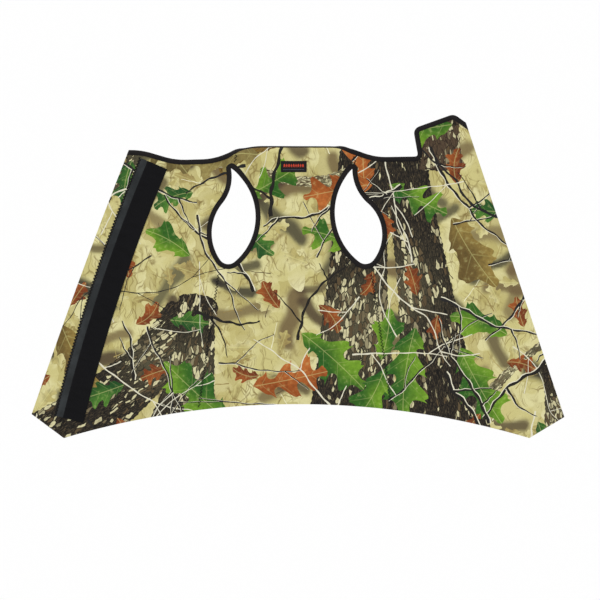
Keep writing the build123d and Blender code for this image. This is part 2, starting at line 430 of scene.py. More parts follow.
class Graph:
    """A node tree and short ways to add to it."""

    def __init__(self, tree: bpy.types.NodeTree) -> None:
        """Take up a tree."""
        self.tree = tree

    def node(self, kind: str, inputs: dict[str | int, Value] | None = None,
             **settings: object) -> bpy.types.Node:
        """Add a node.

        Args:
            kind: Its type, without the ShaderNode that starts it.
            inputs: Its inputs' values or the sockets that feed them.
            settings: Its properties.

        Returns:
            The node.
        """
        made = self.tree.nodes.new("ShaderNode" + kind)
        for name, value in settings.items():
            setattr(made, name, value)
        for name, value in (inputs or {}).items():
            self.feed(made.inputs[name], value)
        return made

    def feed(self, socket: Socket, value: Value) -> None:
        """Link a socket, or set its value.

        Args:
            socket: The input.
            value: The output that feeds it, or its value.
        """
        if isinstance(value, bpy.types.NodeSocket):
            self.tree.links.new(value, socket)
        else:
            socket.default_value = value

    def math(self, operation: str, *values: Value, clamp: bool = False) -> Socket:
        """Add a Math node and return its result."""
        return self.node("Math", dict(enumerate(values)), operation=operation, use_clamp=clamp).outputs[0]

    def humps(self, value: Value, count: int = 1) -> Socket:
        """Turn a value into rows of rounded humps, so many to each unit."""
        return self.math("ABSOLUTE", self.math("SINE", self.math("MULTIPLY", value, math.pi * count)))

    def vector(self, operation: str, *values: Value) -> Socket:
        """Add a Vector Math node and return its result."""
        made = self.node("VectorMath", dict(enumerate(values)), operation=operation)
        return made.outputs["Value" if operation in ("LENGTH", "DOT_PRODUCT") else "Vector"]

    def mix(self, share: Value, first: Value, second: Value, blend: str = "MIX") -> Socket:
        """Mix two colours and return the result."""
        made = self.node("Mix", {0: share, 6: first, 7: second}, data_type="RGBA", blend_type=blend)
        return made.outputs[2]

    def step(self, value: Value, low: float, high: float, start: float = 0.0, end: float = 1.0) -> Socket:
        """Map a value smoothly from one range to another."""
        made = self.node("MapRange", {"Value": value, "From Min": low, "From Max": high, "To Min": start,
                                      "To Max": end}, interpolation_type="SMOOTHSTEP")
        return made.outputs[0]

    def stretched(self, vector: Value, scale: tuple[float, float, float], turn: float = 0.0) -> Socket:
        """Turn and scale a pattern's coordinates."""
        made = self.node("Mapping", {"Vector": vector, "Scale": scale, "Rotation": (0.0, 0.0, turn)})
        return made.outputs[0]

    def noise(self, vector: Value, scale: float, detail: float = 2.0, rough: float = 0.5) -> Socket:
        """Add a Noise Texture and return its value."""
        made = self.node("TexNoise", {"Vector": vector, "Scale": scale, "Detail": detail, "Roughness": rough})
        return made.outputs[0]

    def relief(self, surface: bpy.types.Node, height: Socket, strength: float, depth: float) -> None:
        """Give a surface relief from a height, with its depth in millimetres."""
        made = self.node("Bump", {"Height": height, "Strength": strength, "Distance": depth * MM})
        self.feed(surface.inputs["Normal"], made.outputs[0])

    def attribute(self, name: str) -> Socket:
        """Read one of the piece's own attributes as a vector."""
        return self.node("Attribute", attribute_name=name).outputs["Vector"]

    def group(self, tree: bpy.types.NodeTree, inputs: dict[str, Value]) -> bpy.types.Node:
        """Place a node group.

        Args:
            tree: The group.
            inputs: Its inputs' values or the sockets that feed them.

        Returns:
            Its node.
        """
        made = self.tree.nodes.new("ShaderNodeGroup")
        made.node_tree = tree
        for name, value in inputs.items():
            self.feed(made.inputs[name], value)
        return made


def new_group(name: str, inputs: dict[str, str],
              outputs: dict[str, str]) -> tuple[Graph, dict, bpy.types.Node]:
    """Start a shader node group.

    Args:
        name: Its name.
        inputs: Its inputs' names and kinds.
        outputs: Its outputs' names and kinds.

    Returns:
        Its graph, its input sockets by name, and its output node.
    """
    tree = bpy.data.node_groups.new(name, "ShaderNodeTree")
    for direction, sockets in (("INPUT", inputs), ("OUTPUT", outputs)):
        for label, kind in sockets.items():
            tree.interface.new_socket(label, in_out=direction, socket_type="NodeSocket" + kind)
    entry, end = tree.nodes.new("NodeGroupInput"), tree.nodes.new("NodeGroupOutput")
    return Graph(tree), {label: entry.outputs[label] for label in inputs}, end


class Weave(Enum):
    """How a cloth's threads lie."""

    JERSEY = "jersey"
    TWILL = "twill"
    RIBS = "ribs"
    TWIST = "twist"


@cache
def weave_group(weave: Weave) -> bpy.types.NodeTree:
    """Return the group that gives a weave's height, made once.

    Args:
        weave: The way the threads lie.

    Returns:
        A group from the cloth's own millimetres and the pitch to a height and a shade; the shade, half thread
        height and half random fuzz, is what the cloth uses to paint raised threads lighter as a highlight.
    """
    g, given, end = new_group(f"{weave.value} weave", {"Cloth": "Vector", "Pitch": "Float"},
                              {"Height": "Float", "Shade": "Float"})
    place = g.vector("DIVIDE", given["Cloth"], g.node("CombineXYZ", {
        0: given["Pitch"], 1: given["Pitch"], 2: given["Pitch"]}).outputs[0])
    x, y = g.node("SeparateXYZ", {0: place}).outputs[:2]
    if weave is Weave.JERSEY:
        across = g.humps(x)
        lean = g.math("ADD", y, g.math("MULTIPLY", g.math("PINGPONG", x, 1.0), 0.9))
        height = g.math("MULTIPLY", across, g.math("ADD", g.math("MULTIPLY", g.humps(lean), 0.6), 0.4))
    elif weave is Weave.TWILL:
        height = g.humps(g.math("ADD", x, y))
    elif weave is Weave.RIBS:
        rib, fine = g.math("MULTIPLY", g.humps(x), 0.75), g.math("MULTIPLY", g.humps(y, 2), 0.25)
        height = g.math("ADD", rib, fine)
    else:
        height = g.humps(g.math("ADD", x, g.math("MULTIPLY", y, 1.6)))
    fuzz = g.noise(place, 1.7, 3.0, 0.6)
    g.feed(end.inputs["Height"], g.math("ADD", height, g.math("MULTIPLY", fuzz, 0.35)))
    # The shade follows the thread height plus random fuzz tone, so where a cloth uses it the raised threads are
    # painted lighter, a painted highlight.
    g.feed(end.inputs["Shade"], g.math("ADD", g.math("MULTIPLY", height, 0.5), g.math("MULTIPLY", fuzz, 0.5)))
    return g.tree


@cache
def wear_group() -> bpy.types.NodeTree:
    """Return the group that dusts and fades a dark cloth unevenly, made once.

    Returns:
        A group from the cloth's own millimetres to a fade and a lint mask.
    """
    g, given, end = new_group("uneven wear", {"Cloth": "Vector"}, {"Fade": "Float", "Lint": "Float"})
    broad = g.noise(given["Cloth"], 0.035, 3.0, 0.55)
    g.feed(end.inputs["Fade"], g.step(broad, 0.35, 0.72))
    specks = g.noise(g.stretched(given["Cloth"], (1.3, 0.5, 1.0), 0.6), 1.1, 2.0, 0.5)
    g.feed(end.inputs["Lint"], g.step(specks, 0.73, 0.8))
    return g.tree


@dataclass(frozen=True)
class Cloth:
    """A woven or knitted finish in one colour."""

    name: str
    shade: tuple[int, int, int]
    # The paler colour, used both for uneven fading and for the painted highlight on raised threads.
    fade_and_highlight: tuple[int, int, int]
    weave: Weave
    pitch: float
    relief: float = 0.12
    roughness: float = 0.85
    sheen: float = 0.04

    @cache
    def material(self) -> bpy.types.Material:
        """Return the finish as a material, made once.

        Returns:
            The material.
        """
        made, g, surface = new_material(f"{self.name} finish")
        cloth = g.attribute("cloth")
        weave = g.group(weave_group(self.weave), {"Cloth": cloth, "Pitch": self.pitch})
        wear = g.group(wear_group(), {"Cloth": cloth})
        base = g.mix(g.math("MULTIPLY", wear.outputs["Fade"], 0.6), colour(*self.shade), colour(*self.fade_and_highlight))
        # Painted highlight: raised threads are mixed toward the paler colour, together with random fuzz tone.
        base = g.mix(g.math("MULTIPLY", weave.outputs["Shade"], 0.35), base, colour(*self.fade_and_highlight))
        base = g.mix(g.math("MULTIPLY", wear.outputs["Lint"], 0.25), base, colour(150, 148, 140))
        g.feed(surface.inputs["Base Color"], base)
        rough = g.step(weave.outputs["Height"], 0.0, 1.3, self.roughness + 0.1, self.roughness - 0.08)
        g.feed(surface.inputs["Roughness"], rough)
        set_shine(surface, 0.25, self.sheen)
        g.relief(surface, weave.outputs["Height"], 0.6, self.relief)
        return made


def new_material(name: str) -> tuple[bpy.types.Material, Graph, bpy.types.Node]:
    """Start a material."""
    made = bpy.data.materials.new(name)
    made.use_nodes = True
    return made, Graph(made.node_tree), made.node_tree.nodes["Principled BSDF"]


def set_shine(surface: bpy.types.Node, specular: float, sheen: float = 0.0, spread: float = 0.5) -> None:
    """Set how much a surface shines, and the strength and spread of its sheen."""
    surface.inputs["Specular IOR Level"].default_value = specular
    surface.inputs["Sheen Weight"].default_value = sheen
    surface.inputs["Sheen Roughness"].default_value = spread


@dataclass(frozen=True)
class Foam:
    """Closed-cell foam, which shows at a cut edge."""

    name: str = "neoprene_foam"
    shade: tuple[int, int, int] = (34, 34, 36)
    pore: float = 0.35

    @cache
    def material(self) -> bpy.types.Material:
        """Return the finish as a material, made once.

        Returns:
            The material.
        """
        made, g, surface = new_material(f"{self.name} finish")
        cloth = g.attribute("cloth")
        cells = g.node("TexVoronoi", {"Vector": cloth, "Scale": 1 / self.pore}).outputs["Distance"]
        broad = g.noise(cloth, 0.08, 3.0)
        base = g.mix(broad, colour(*self.shade), colour(48, 48, 50))
        # Painted shade: the pits of the cut cells, low in the relief, are darkened.
        g.feed(surface.inputs["Base Color"], g.mix(g.step(cells, 0.1, 0.6), colour(18, 18, 19), base))
        g.feed(surface.inputs["Roughness"], g.step(broad, 0.3, 0.7, 0.82, 0.95))
        set_shine(surface, 0.3)
        g.relief(surface, cells, 0.7, 0.15)
        return made


@dataclass(frozen=True)
class Pile:
    """Brushed loop pile: dark, soft and uneven."""

    name: str = "loop_pile"
    shade: tuple[int, int, int] = (8, 8, 10)
    # The paler colour that raised loops are painted with, as a highlight.
    tip: tuple[int, int, int] = (24, 24, 27)

    @cache
    def material(self) -> bpy.types.Material:
        """Return the finish as a material, made once.

        Returns:
            The material.
        """
        made, g, surface = new_material(f"{self.name} finish")
        cloth = g.attribute("cloth")
        loops = g.noise(cloth, 2.2, 4.0, 0.7)
        brushed = g.noise(g.stretched(cloth, (1.0, 0.22, 1.0), 0.3), 0.16, 3.0, 0.6)
        # Painted highlight and shade: raised loops take the paler tip colour, low ones the dark shade colour.
        base = g.mix(g.step(loops, 0.35, 0.75), colour(*self.shade), colour(*self.tip))
        base = g.mix(g.step(brushed, 0.4, 0.75, 0.0, 0.5), base, colour(8, 8, 9))
        g.feed(surface.inputs["Base Color"], base)
        g.feed(surface.inputs["Roughness"], g.step(loops, 0.3, 0.7, 0.85, 1.0))
        set_shine(surface, 0.1, 0.05, 0.6)
        g.relief(surface, loops, 0.9, 0.5)
        return made


@dataclass(frozen=True)
class Moulded:
    """Moulded nylon of the hooks."""

    name: str = "hook_field"
    shade: tuple[int, int, int] = (24, 24, 27)

    @cache
    def material(self) -> bpy.types.Material:
        """Return the finish as a material, made once.

        Returns:
            The material.
        """
        made, g, surface = new_material(f"{self.name} finish")
        cloth = g.attribute("cloth")
        broad = g.noise(cloth, 0.3, 3.0)
        g.feed(surface.inputs["Base Color"], g.mix(broad, colour(*self.shade), colour(52, 52, 56)))
        g.feed(surface.inputs["Roughness"], g.step(broad, 0.3, 0.7, 0.32, 0.48))
        fine = g.noise(cloth, 6.0, 2.0)
        g.relief(surface, fine, 0.3, 0.05)
        return made


# ---- The printed finish ----


def litter_group() -> bpy.types.NodeTree:
    """Return the group that draws faint leaf litter over the print's ground.

    Returns:
        A group from an ink and the cloth's millimetres to a colour.
    """
    g, given, end = new_group("leaf litter", {"Colour": "Color", "Cloth": "Vector"}, {"Colour": "Color"})
    cloth = given["Cloth"]
    drift = g.node("TexNoise", {"Vector": cloth, "Scale": 0.03, "Detail": 2.0}).outputs["Color"]
    warped = g.vector("ADD", cloth, g.vector("MULTIPLY", drift, (34.0, 34.0, 0.0)))
    patches = g.step(g.noise(warped, 0.024, 3.0, 0.55), 0.42, 0.6)
    base = g.mix(g.math("MULTIPLY", patches, 0.6), given["Colour"], colour(234, 229, 176))
    drawn_out = g.stretched(warped, (1.0, 0.7, 1.0), 0.5)
    cells = g.node("TexVoronoi", {"Vector": drawn_out, "Scale": 0.042})
    tone = g.node("SeparateColor", {0: cells.outputs["Color"]}).outputs[0]
    base = g.mix(g.step(tone, 0.5, 0.75, 0.0, 0.55), base, colour(178, 164, 96))
    for turn, scale, size, strength in ((0.35, (1.0, 0.38, 1.0), 0.07, 0.7),
                                        (-0.75, (1.0, 0.3, 1.0), 0.1, 0.65),
                                        (1.2, (1.0, 0.55, 1.0), 0.045, 0.7)):
        edges = g.node("TexVoronoi", {"Vector": g.stretched(warped, scale, turn), "Scale": size},
                       feature="DISTANCE_TO_EDGE").outputs["Distance"]
        fade = g.step(g.noise(cloth, 0.05, 2.0), 0.4, 0.62)
        line = g.math("MULTIPLY", g.step(edges, 0.0, 0.045, strength, 0.0), fade)
        base = g.mix(line, base, colour(128, 106, 54))
    g.feed(end.inputs["Colour"], base)
    return g.tree


def bark_group() -> bpy.types.NodeTree:
    """Return the group that lays pale cobbles and dark cracks over bark.

    Returns:
        A group from an ink, the bark's own place and its pale share to a colour.
    """
    g, given, end = new_group("bark cobbles", {"Colour": "Color", "Grain": "Vector", "Pale": "Float"},
                              {"Colour": "Color"})
    drift = g.node("TexNoise", {"Vector": given["Grain"], "Scale": 0.12, "Detail": 2.0}).outputs["Color"]
    warped = g.vector("ADD", given["Grain"], g.vector("MULTIPLY", drift, (5.0, 5.0, 0.0)))
    stretched = g.stretched(warped, (0.085, 0.23, 1.0))
    cells = g.node("TexVoronoi", {"Vector": stretched, "Scale": 1.0, "Randomness": 0.9})
    edges = g.node("TexVoronoi", {"Vector": stretched, "Scale": 1.0, "Randomness": 0.9},
                   feature="DISTANCE_TO_EDGE").outputs["Distance"]
    pick, tone = g.node("SeparateColor", {0: cells.outputs["Color"]}).outputs[:2]
    cluster = g.step(g.noise(g.stretched(warped, (0.022, 0.09, 1.0)), 1.0, 2.0), 0.36, 0.62, -0.35, 0.35)
    chosen = g.math("LESS_THAN", pick, g.math("ADD", given["Pale"], cluster))
    body = g.math("MULTIPLY", g.step(edges, 0.035, 0.11), chosen)
    pale = g.mix(g.step(tone, 0.2, 0.8), colour(92, 76, 52), colour(218, 211, 166))
    heart = g.step(cells.outputs["Distance"], 0.05, 0.4, 0.35, 0.0)
    pale = g.mix(heart, pale, colour(86, 76, 58))
    streaks = g.step(g.noise(g.stretched(given["Grain"], (0.16, 0.9, 1.0)), 1.0, 3.0, 0.65), 0.48, 0.66)
    base = g.mix(g.math("MULTIPLY", streaks, 0.6), given["Colour"], colour(112, 98, 72))
    base = g.mix(g.step(edges, 0.0, 0.06, 0.85, 0.0), base, colour(14, 13, 12))
    g.feed(end.inputs["Colour"], g.mix(body, base, pale))
    return g.tree


def leaf_group() -> bpy.types.NodeTree:
    """Return the group that draws a printed leaf's veins and blotches.

    Returns:
        A group from an ink, the leaf's own place and the cloth's to a colour.
    """
    g, given, end = new_group("leaf veins", {"Colour": "Color", "Vein": "Vector", "Cloth": "Vector"},
                              {"Colour": "Color"})
    along, across = g.node("SeparateXYZ", {0: given["Vein"]}).outputs[:2]
    away = g.math("ABSOLUTE", across)
    rib = g.step(away, 0.2, 0.8, 0.8, 0.0)
    swing = g.math("ABSOLUTE", g.math("SUBTRACT", g.math("FRACT", along), 0.5))
    side = g.math("MULTIPLY", g.step(swing, 0.008, 0.035, 0.45, 0.0), g.step(away, 0.4, 26.0, 1.0, 0.3))
    blotch = g.noise(given["Cloth"], 0.16, 5.0, 0.62)
    lighter = g.mix(0.45, given["Colour"], colour(226, 226, 150))
    darker = g.mix(0.6, given["Colour"], colour(24, 30, 14))
    base = g.mix(g.step(blotch, 0.45, 0.7, 0.0, 0.5), given["Colour"], darker)
    base = g.mix(g.step(blotch, 0.28, 0.46, 0.5, 0.0), base, lighter)
    g.feed(end.inputs["Colour"], g.mix(g.math("MAXIMUM", rib, side), base, lighter))
    return g.tree


@dataclass(frozen=True)
class PrintedJersey:
    """Nylon jersey with a printed woodland scene, drawn from the print's attributes."""

    name: str = "leaf_print_jersey"
    pitch: float = 0.55
    relief: float = 0.1

    @cache
    def material(self) -> bpy.types.Material:
        """Return the finish as a material, made once.

        Returns:
            The material.
        """
        made, g, surface = new_material(f"{self.name} finish")
        cloth, motif = g.attribute("cloth"), g.attribute("motif")
        bark, leaf, ground = g.node("SeparateXYZ", {0: g.attribute("kind")}).outputs[:3]
        ink = g.node("Attribute", attribute_name="ink").outputs["Color"]
        drawn = g.group(litter_group(), {"Colour": ink, "Cloth": cloth}).outputs[0]
        base = g.mix(ground, ink, drawn)
        cobbled = g.group(bark_group(), {"Colour": ink, "Grain": motif, "Pale": bark}).outputs[0]
        base = g.mix(g.step(bark, 0.0, 0.02), base, cobbled)
        veined = g.group(leaf_group(), {"Colour": ink, "Vein": motif, "Cloth": cloth}).outputs[0]
        base = g.mix(leaf, base, veined)
        speck = g.noise(cloth, 0.9, 3.0, 0.65)
        base = g.mix(g.step(speck, 0.5, 0.8, 0.0, 0.22), base, colour(60, 56, 40), "MULTIPLY")
        weave = g.group(weave_group(Weave.JERSEY), {"Cloth": cloth, "Pitch": self.pitch})
        # Painted shade: the knit's low hollows are darkened toward dark brown.
        base = g.mix(g.step(weave.outputs["Height"], 0.1, 0.6, 0.12, 0.0), base, colour(30, 28, 22))
        g.feed(surface.inputs["Base Color"], base)
        g.feed(surface.inputs["Roughness"], g.step(weave.outputs["Height"], 0.0, 1.2, 0.95, 0.78))
        set_shine(surface, 0.2, 0.08)
        g.relief(surface, weave.outputs["Height"], 0.5, self.relief)
        return made


# ---- Motifs of the print, in millimetres of the vest laid flat ----


@dataclass
class Paint:
    """What the print holds at some points: ink, kind of motif and the motif's own coordinates."""

    ink: np.ndarray
    kind: np.ndarray
    motif: np.ndarray


class Tint(Enum):
    """A leaf's two inks: its shaded half and its lit half."""

    GREEN = ((36, 92, 30), (124, 168, 44))
    DEEP = ((30, 78, 34), (84, 134, 48))
    RUST = ((116, 54, 26), (164, 88, 40))
    ORANGE = ((150, 76, 30), (196, 112, 52))
    DRY = ((104, 90, 50), (158, 142, 84))
    BROWN = ((104, 84, 44), (160, 136, 70))
    FADED = ((186, 172, 106), (226, 218, 160))
    DUSKY = ((158, 138, 84), (190, 176, 112))


@dataclass
class Leaf:
    """A lobed leaf, drawn from its stem to its tip."""

    stem: Point
    tip: Point
    reach: float
    tint: Tint
    lobes: int = 3
    depth: float = 0.6
    bend: float = 0.0
    seed: float = 0.0

    def axis(self) -> tuple[np.ndarray, np.ndarray, float]:
        """Return the directions along and across the leaf, and its length."""
        run = np.subtract(self.tip, self.stem)
        size = float(np.linalg.norm(run))
        return run / size, np.array([-run[1], run[0]]) / size, size

    def sag(self, t: np.ndarray) -> np.ndarray:
        """Return how far the midrib leaves a straight line, from 0 at the stem to 1 at the tip."""
        return self.bend * 4 * t * (1 - t)

    def outline(self) -> np.ndarray:
        """Return the leaf's edge: lobes that lean to the tip, with small teeth.

        Returns:
            The outline's points.
        """
        along, across, size = self.axis()
        t = np.linspace(0, 1, 20 * self.lobes + 8)
        spine = np.array(self.stem) + np.outer(t * size, along) + np.outer(self.sag(t), across)
        halves = []
        for side, phase in ((-1, 0.02), (1, 0.16)):
            # The leaf is widest past its middle. The wave is 1 at a lobe's tip and 0 between two lobes.
            swell = np.sin(np.pi * t**0.8) ** 0.7 * (0.62 + 0.5 * t)
            place = (self.lobes + 0.35) * t + phase + 0.08 * np.sin(self.seed + 5 * t)
            wave = 0.5 - 0.5 * np.cos(2 * np.pi * place)
            teeth = 1 + 0.13 * wave * np.cos(6 * np.pi * place) + 0.04 * np.sin(t * 61 + self.seed * 7 + side)
            uneven = 1 + 0.14 * np.sin(self.seed * 3 + side + 2.6 * self.lobes * t)
            wide = self.reach * swell * (1 - self.depth * (1 - wave**1.25)) * teeth * uneven * 1.08
            lean = np.outer(wide * 0.5 * wave * (1 - t**4), along)
            halves.append(spine + np.outer(side * np.maximum(wide, 0.5), across) + lean)
        return np.vstack([halves[0], halves[1][::-1]])

    def paint(self, at: np.ndarray) -> Paint:
        """Return the print at points on the leaf.

        Args:
            at: Points in millimetres.

        Returns:
            The paint at each.
        """
        along, across, size = self.axis()
        rest = at - np.array(self.stem)
        t, off = rest @ along / size, rest @ across
        off = off - self.sag(t)
        dark, light = (linear(x) for x in self.tint.value)
        lit = smoothstep(-0.5, 0.7, off / self.reach + 0.25 * np.sin(9 * t + self.seed)) * 0.8 + 0.12 * t
        ink = dark + (light - dark) * np.clip(lit, 0, 1)[:, None]
        vein = np.stack([t * self.lobes * 1.5 - abs(off) / size * self.lobes * 1.3, off,
                         np.full(len(at), self.seed)], 1)
        return Paint(ink, np.tile([0.0, 1.0, 0.0], (len(at), 1)), vein)


@dataclass
class Twig:
    """A thin twig that narrows to its end, with a pale edge on one side."""

    points: list[Point]
    start: float = 2.6
    end: float = 1.0
    pale: int = 1
    ink: tuple[int, int, int] = (38, 36, 36)
    edge: tuple[int, int, int] = (236, 232, 206)

    def parts(self) -> list["Strip"]:
        """Return the pale edge and the dark twig over it.

        Returns:
            The bands, the lower one first.
        """
        line = rounded(self.points, 5)
        share = np.linspace(0, 1, len(line))
        knots = 0.22 * np.sin(share * len(self.points) * 5.1 + self.points[0][0])
        line = line + leftward(line) * (knots * self.start)[:, None]
        wide = self.start + (self.end - self.start) * share
        wide = wide * (1 + 0.25 * np.sin(share * len(self.points) * 7.7))
        dark = Strip(line, wide, self.ink)
        if not self.pale:
            return [dark]
        beside = line + leftward(line) * (self.pale * wide * 0.42)[:, None]
        return [Strip(beside, wide * 0.8, self.edge), dark]


@dataclass
class Strip:
    """A band of one ink along a line."""

    line: np.ndarray
    wide: np.ndarray
    ink: tuple[int, int, int]

    def outline(self) -> np.ndarray:
        """Return the band's edge."""
        half = leftward(self.line) * (self.wide / 2)[:, None]
        return np.vstack([self.line - half, (self.line + half)[::-1]])

    def paint(self, at: np.ndarray) -> Paint:
        """Return the print at points on the band."""
        none = np.zeros((len(at), 3))
        return Paint(np.tile(linear(self.ink), (len(at), 1)), none, none)


@dataclass
class Bark:
    """A stretch of trunk, root or branch with cobbled bark."""

    edge: list[Point]
    grain: float
    ink: tuple[int, int, int] = (44, 40, 35)
    light: tuple[int, int, int] = (44, 40, 35)
    lit_at: Point = (0, 0)
    lit_reach: float = 60.0
    pale: tuple[float, float] = (0.25, 0.9)
    scale: float = 1.0

    def outline(self) -> np.ndarray:
        """Return the bark's uneven edge.

        Returns:
            The outline's points.
        """
        closed = self.edge + self.edge[:2]
        line = resampled(rounded(closed, 5)[:5 * len(self.edge)], 3.0, closed=True)
        place = np.arange(len(line))
        rough = 0.7 * np.sin(place * 2.3) + 0.5 * np.sin(place * 0.91 + self.grain)
        return line + leftward(line, closed=True) * rough[:, None]

    def paint(self, at: np.ndarray) -> Paint:
        """Return the print at points on the bark.

        Args:
            at: Points in millimetres.

        Returns:
            The paint at each.
        """
        along = heading(math.radians(self.grain))
        across = np.array([-along[1], along[0]])
        near = np.exp(-(np.linalg.norm(at - np.array(self.lit_at), axis=1) / self.lit_reach) ** 2)
        ink = linear(self.ink) + (linear(self.light) - linear(self.ink)) * near[:, None]
        kind = np.zeros((len(at), 3))
        kind[:, 0] = self.pale[0] + (self.pale[1] - self.pale[0]) * near
        motif = np.stack([at @ along, at @ across, np.zeros(len(at))], 1) / self.scale
        return Paint(ink, kind, motif)


@dataclass
class Patch:
    """A flat shape of two inks that fade into each other from one side to the other."""

    edge: list[Point]
    ink: tuple[int, int, int]
    other: tuple[int, int, int]
    turn: float = 0.0
    litter: float = 0.4

    def outline(self) -> np.ndarray:
        """Return the patch's edge with softened corners."""
        return resampled(rounded(self.edge + self.edge[:2], 5)[:5 * len(self.edge)], 4.0, closed=True)

    def paint(self, at: np.ndarray) -> Paint:
        """Return the print at points on the patch.

        Args:
            at: Points in millimetres.

        Returns:
            The paint at each.
        """
        ends = np.array(self.edge, float)
        run = heading(math.radians(self.turn))
        reach = ends @ run
        share = smoothstep(reach.min(), reach.max(), at @ run)
        ink = linear(self.ink) + (linear(self.other) - linear(self.ink)) * share[:, None]
        kind = np.tile([0.0, 0.0, self.litter], (len(at), 1))
        return Paint(ink, kind, np.zeros((len(at), 3)))


@dataclass
class Blur:
    """A branch far behind, printed out of focus."""

    start: Point
    end: Point
    wide: float
    ink: tuple[int, int, int]
    strength: float


KHAKI, CREAM = (208, 199, 134), (232, 226, 178)
SHADE, UMBER, SMOKE = (114, 95, 64), (76, 60, 46), (46, 42, 40)
DARK_BARK, GREY_BARK, GOLD_BARK, SAND_BARK = (32, 28, 24), (84, 80, 60), (128, 100, 42), (130, 124, 90)
TWIG_KINDS = (((38, 36, 36), 1.0), ((48, 44, 40), 0.8), ((38, 36, 36), 0.6), ((34, 31, 28), 1.4),
              ((228, 224, 200), 0.45))
STALK_INKS = ((150, 128, 74), (176, 158, 98), (96, 82, 56), (238, 234, 196))
PRINT_REACH = (370.0, 225.0)


def spread(chance: np.random.Generator, count: int, apart: float) -> list[np.ndarray]:
    """Choose places on the print that keep a distance from one another.

    Args:
        chance: Where the random numbers come from.
        count: How many places are wanted.
        apart: The least distance between two of them.

    Returns:
        The places, in the order in which they were found.
    """
    found: list[np.ndarray] = []
    for place in chance.uniform(np.negative(PRINT_REACH), PRINT_REACH, (count * 30, 2)):
        if len(found) < count and all(np.linalg.norm(place - other) > apart for other in found):
            found.append(place)
    return found


def blurs() -> list[Blur]:
    """Strew the soft shapes of the print's ground.

    Returns:
        The shapes, from back to front.
    """
    chance, found = np.random.default_rng(30), []
    for place in spread(chance, 80, 50):
        end = place + chance.uniform(24, 90) * heading(chance.uniform(0, np.pi))
        ink = (SHADE, UMBER, SMOKE)[int(chance.integers(0, 3))]
        wide, strength = chance.uniform(12, 24), chance.uniform(0.75, 0.95)
        found.append(Blur(tuple(place), tuple(end), wide, ink, strength))
    return found


def openings() -> list[Patch]:
    """Strew pale shapes, like light between branches.

    Returns:
        The patches, from back to front.
    """
    chance, found = np.random.default_rng(4), []
    for place in spread(chance, 24, 90):
        turns = (np.arange(5) + chance.uniform(-0.3, 0.3, 5)) * 2 * np.pi / 5
        reaches = chance.uniform(9, 24, 5)
        edge = [tuple(place + reach * heading(turn)) for turn, reach in zip(turns, reaches)]
        found.append(Patch(edge, CREAM, KHAKI, chance.uniform(0, 180)))
    return found


def trunk(foot: Point, top: Point, wide: tuple[float, float], bow: float = 0.0) -> list[Point]:
    """Outline a trunk that widens toward its foot.

    Args:
        foot: The middle of its lower end.
        top: The middle of its upper end.
        wide: Its width at the foot and at the top.
        bow: How far its middle leans to the left of a straight line.

    Returns:
        The points of its edge.
    """
    share = np.linspace(0, 1, 6)[:, None]
    run = np.subtract(top, foot)
    across = np.array([-run[1], run[0]]) / np.linalg.norm(run)
    spine = np.array(foot) + share * run + 4 * bow * share * (1 - share) * across
    half = (wide[1] + (wide[0] - wide[1]) * (1 - share) ** 2) / 2 * across
    return [tuple(point) for point in np.vstack([spine + half, (spine - half)[::-1]])]


def trunks() -> list[Bark]:
    """Return the trunks, roots and branches, from back to front."""
    pale = (0.1, 0.96)
    return [
        Bark(trunk((80, -240), (100, 185), (140, 70), 8), 84, DARK_BARK, GREY_BARK, (90, -70), 60, pale),
        Bark(trunk((200, -240), (140, 190), (130, 60), -8), 98, DARK_BARK, GREY_BARK, (140, -20), 50, pale),
        Bark(trunk((-340, -230), (-150, -60), (100, 70), -10), 38, DARK_BARK, GREY_BARK,
             (-200, -120), 40, pale),
        Bark(trunk((-170, -240), (-140, -30), (110, 50), -6), 80, DARK_BARK, GREY_BARK,
             (-150, -130), 40, pale),
        Bark(trunk((370, -240), (350, -120), (60, 20)), 100, DARK_BARK, GREY_BARK,
             (350, -200), 30, pale, 0.7),
        Bark(trunk((250, -190), (350, -90), (20, 10), 8), 45, GREY_BARK, SAND_BARK,
             (300, -140), 40, pale, 0.6),
        Bark(trunk((-280, 110), (-220, 185), (30, 24)), 50, GREY_BARK, DARK_BARK,
             (-250, 150), 20, pale, 0.7),
        Bark(trunk((200, 150), (200, 240), (60, 50)), 95, UMBER, UMBER, (200, 190), 30, (0.25, 0.35)),
        Bark(trunk((-110, 160), (0, 185), (40, 14), 6), 12, GOLD_BARK, GOLD_BARK, (-70, 165), 30, (0.1, 0.1)),
        Bark(trunk((70, 140), (-50, 145), (20, 12), 10), 5, SAND_BARK, SAND_BARK,
             (10, 130), 40, (0.8, 1.0), 0.42),
    ]


@dataclass(frozen=True)
class LeafKind:
    """A kind of leaf: its colours, its length, its width's share of that, its lobes and their depth."""

    tint: Tint
    length: float
    wide: float
    lobes: int
    depth: float


LEAF_KINDS = (
    LeafKind(Tint.GREEN, 120, 0.3, 3, 0.6), LeafKind(Tint.RUST, 46, 0.34, 3, 0.45),
    LeafKind(Tint.RUST, 40, 0.36, 2, 0.5), LeafKind(Tint.DEEP, 62, 0.34, 3, 0.55),
    LeafKind(Tint.RUST, 50, 0.32, 3, 0.5), LeafKind(Tint.GREEN, 84, 0.32, 2, 0.5),
    LeafKind(Tint.BROWN, 105, 0.3, 2, 0.5), LeafKind(Tint.RUST, 44, 0.36, 3, 0.6),
    LeafKind(Tint.GREEN, 104, 0.31, 3, 0.8), LeafKind(Tint.RUST, 38, 0.36, 2, 0.5),
    LeafKind(Tint.DEEP, 56, 0.34, 3, 0.6), LeafKind(Tint.RUST, 42, 0.34, 3, 0.5),
    LeafKind(Tint.DRY, 96, 0.32, 3, 0.55), LeafKind(Tint.ORANGE, 112, 0.31, 3, 0.75),
)


